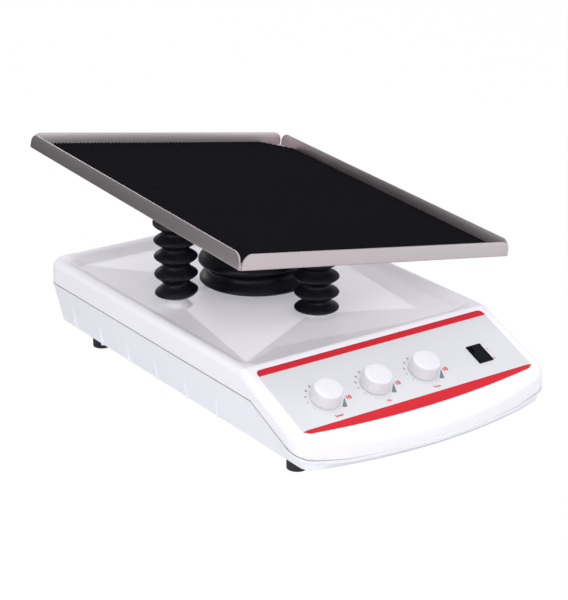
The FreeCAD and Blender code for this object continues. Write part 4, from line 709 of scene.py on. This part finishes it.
# Angle in degrees, size in mm and ink of the digits 1 to 9 round a knob
DIAL_RADIUS = 17.7
DIAL = [(-113, 2.9, PALE_INK), (-88, 3.1, PALE_INK), (-66, 3.4, DARK_INK), (-42, 3.7, DARK_INK), (-18, 3.7, DARK_INK),
        (10, 3.7, DARK_INK), (35, 3.8, RED_INK), (59, 4.0, RED_INK), (80, 4.2, RED_INK)]
for knob_name, knob_x in KNOBS.items():
    for number, (angle, size, ink) in enumerate(DIAL, start=1):
        turn = math.radians(angle)
        dial_x = knob_x + 0.7 + DIAL_RADIUS * math.sin(turn)
        dial_s = 48.7 - DIAL_RADIUS * math.cos(turn)
        lettering("%s_dial_%d" % (knob_name, number), str(number), size, dial_x, dial_s, ink, weight=0.12)
    lettering(knob_name + "_dial_10", "10", 5.6, knob_x + 20.5, 54.5, RED_INK, weight=0.3)
    # a flat grey wedge to the lower right of the knob
    wedge = [(knob_x + 17.1, 52.7), (knob_x + 13.1, 63.8), (knob_x + 10.9, 63.4), (knob_x + 8.7, 62.2)]
    printed(knob_name + "_dial_wedge", wedge, WEDGE_GREY)
    lettering(knob_name + "_word", knob_name.title(), 3.3, knob_x + 0.4, 70.0, RED_INK, weight=0.12)
lettering("switch_on_mark", "I", 4.6, 96.7, 46.0, RED_INK)
lettering("switch_off_mark", "O", 3.8, 95.4, 58.0, RED_INK)


# Stage, light and camera

# Strength of the even light from all round
WORLD_LEVEL = 0.5
# How much of the paper's brightness doesn't depend on the lamps
PAPER_GLOW = 0.94


def falling_off(tree, depth, near, far, least):
    """Brightness that falls from 1 at the depth near to least at the depth far."""
    return add(tree, "ShaderNodeMapRange", {
        "Value": depth, "From Min": near, "From Max": far, "To Min": 1.0, "To Max": least,
    })


def make_stage():
    deselect_all()
    bpy.ops.mesh.primitive_plane_add(size=40.0, location=(0, 0, 0))
    floor = bpy.context.object
    floor.name = "floor"
    material, tree = new_material("white_paper_sweep")
    rays = add(tree, "ShaderNodeLightPath")
    # in a reflection the paper is brightest in front, near the lamps
    depth = add(tree, "ShaderNodeSeparateXYZ", {0: add(tree, "ShaderNodeNewGeometry").outputs["Position"]}).outputs["Y"]
    falling = falling_off(tree, depth, -0.25, 0.42, 0.15)
    level = add(tree, "ShaderNodeMix", {0: rays.outputs["Is Camera Ray"], 2: falling.outputs["Result"], 3: 1.0})
    straight, reflected = rays.outputs["Is Camera Ray"], rays.outputs["Is Glossy Ray"]
    seen = add(tree, "ShaderNodeMath", {0: straight, 1: reflected}, operation="MAXIMUM")
    share = add(tree, "ShaderNodeMath", {0: seen.outputs[0], 1: PAPER_GLOW}, operation="MULTIPLY")
    paper = add(tree, "ShaderNodeBsdfDiffuse", {"Color": linear("#f7f7f8")})
    white = add(tree, "ShaderNodeEmission", {"Color": (1, 1, 1, 1), "Strength": level.outputs[0]})
    mixed = add(tree, "ShaderNodeMixShader", {0: share.outputs[0], 1: paper.outputs[0], 2: white.outputs[0]})
    add(tree, "ShaderNodeOutputMaterial", {"Surface": mixed.outputs[0]})
    floor.data.materials.append(material)


def make_world():
    world = bpy.data.worlds.new("studio")
    bpy.context.scene.world = world
    world.use_nodes = True
    tree = world.node_tree
    tree.nodes.clear()
    rays = add(tree, "ShaderNodeLightPath")
    way = add(tree, "ShaderNodeTexCoord").outputs["Generated"]
    depth = add(tree, "ShaderNodeSeparateXYZ", {0: way}).outputs["Y"]
    falling = falling_off(tree, depth, -0.6, 0.7, 0.3)
    glossy = add(tree, "ShaderNodeMix", {
        0: rays.outputs["Is Glossy Ray"], 2: WORLD_LEVEL, 3: falling.outputs["Result"],
    })
    strength = add(tree, "ShaderNodeMix", {0: rays.outputs["Is Camera Ray"], 2: glossy.outputs[0], 3: 1.0})
    sky = add(tree, "ShaderNodeBackground", {"Color": (1, 1, 1, 1), "Strength": strength.outputs[0]})
    add(tree, "ShaderNodeOutputWorld", {"Surface": sky.outputs[0]})


def softbox(name, place, aim, width, height, power, shadow=True):
    data = bpy.data.lights.new(name, "AREA")
    data.shape = "RECTANGLE"
    data.size = width
    data.size_y = height
    data.energy = power
    data.use_shadow = shadow
    lamp = bpy.data.objects.new(name, data)
    bpy.context.scene.collection.objects.link(lamp)
    lamp.location = place
    lamp.rotation_euler = (Vector(aim) - Vector(place)).to_track_quat("-Z", "Y").to_euler()


def make_camera():
    """The camera that was fitted to the photograph."""
    target, distance = Vector((0, 0.0135, 0.060)), 1.72578
    elevation, roll = math.radians(21.43), math.radians(0.11)
    away = TO_CAMERA * math.cos(elevation) + Vector((0, 0, math.sin(elevation)))
    data = bpy.data.cameras.new("photo_camera")
    data.sensor_width = 36.0
    data.lens = 111.25
    data.shift_y = 10.19 / 600
    data.clip_start = 0.01
    data.clip_end = 100.0
    camera = bpy.data.objects.new("photo_camera", data)
    bpy.context.scene.collection.objects.link(camera)
    turn = (-away).to_track_quat("-Z", "Y").to_matrix().to_4x4() @ Matrix.Rotation(roll, 4, "Z")
    camera.matrix_world = Matrix.Translation(target + away * distance) @ turn
    bpy.context.scene.camera = camera


make_stage()
make_world()
# Name, place, point aimed at, width and height in metres, and watts
softbox("front_softbox", (-0.5, -1.75, 1.4), (0, 0, 0.1), 1.4, 0.9, 14.5)
softbox("left_softbox", (-2.3, -0.7, 0.6), (0, 0, 0.1), 1.2, 0.6, 10.5)
softbox("right_softbox", (2.1, -0.9, 0.8), (0, 0, 0.1), 1.4, 0.6, 3)
softbox("back_softbox", (0.9, 2.2, 0.8), (0, 0, 0.1), 1.8, 0.6, 6.5)
# the fill casts no shadow, so the deck under the tray stays as light as the photograph shows it
softbox("top_fill", (0, 0, 2.4), (0, 0, 0), 1.6, 1.6, 32.5, shadow=False)
make_camera()
bpy.context.scene.view_settings.view_transform = "Standard"

deselect_all()
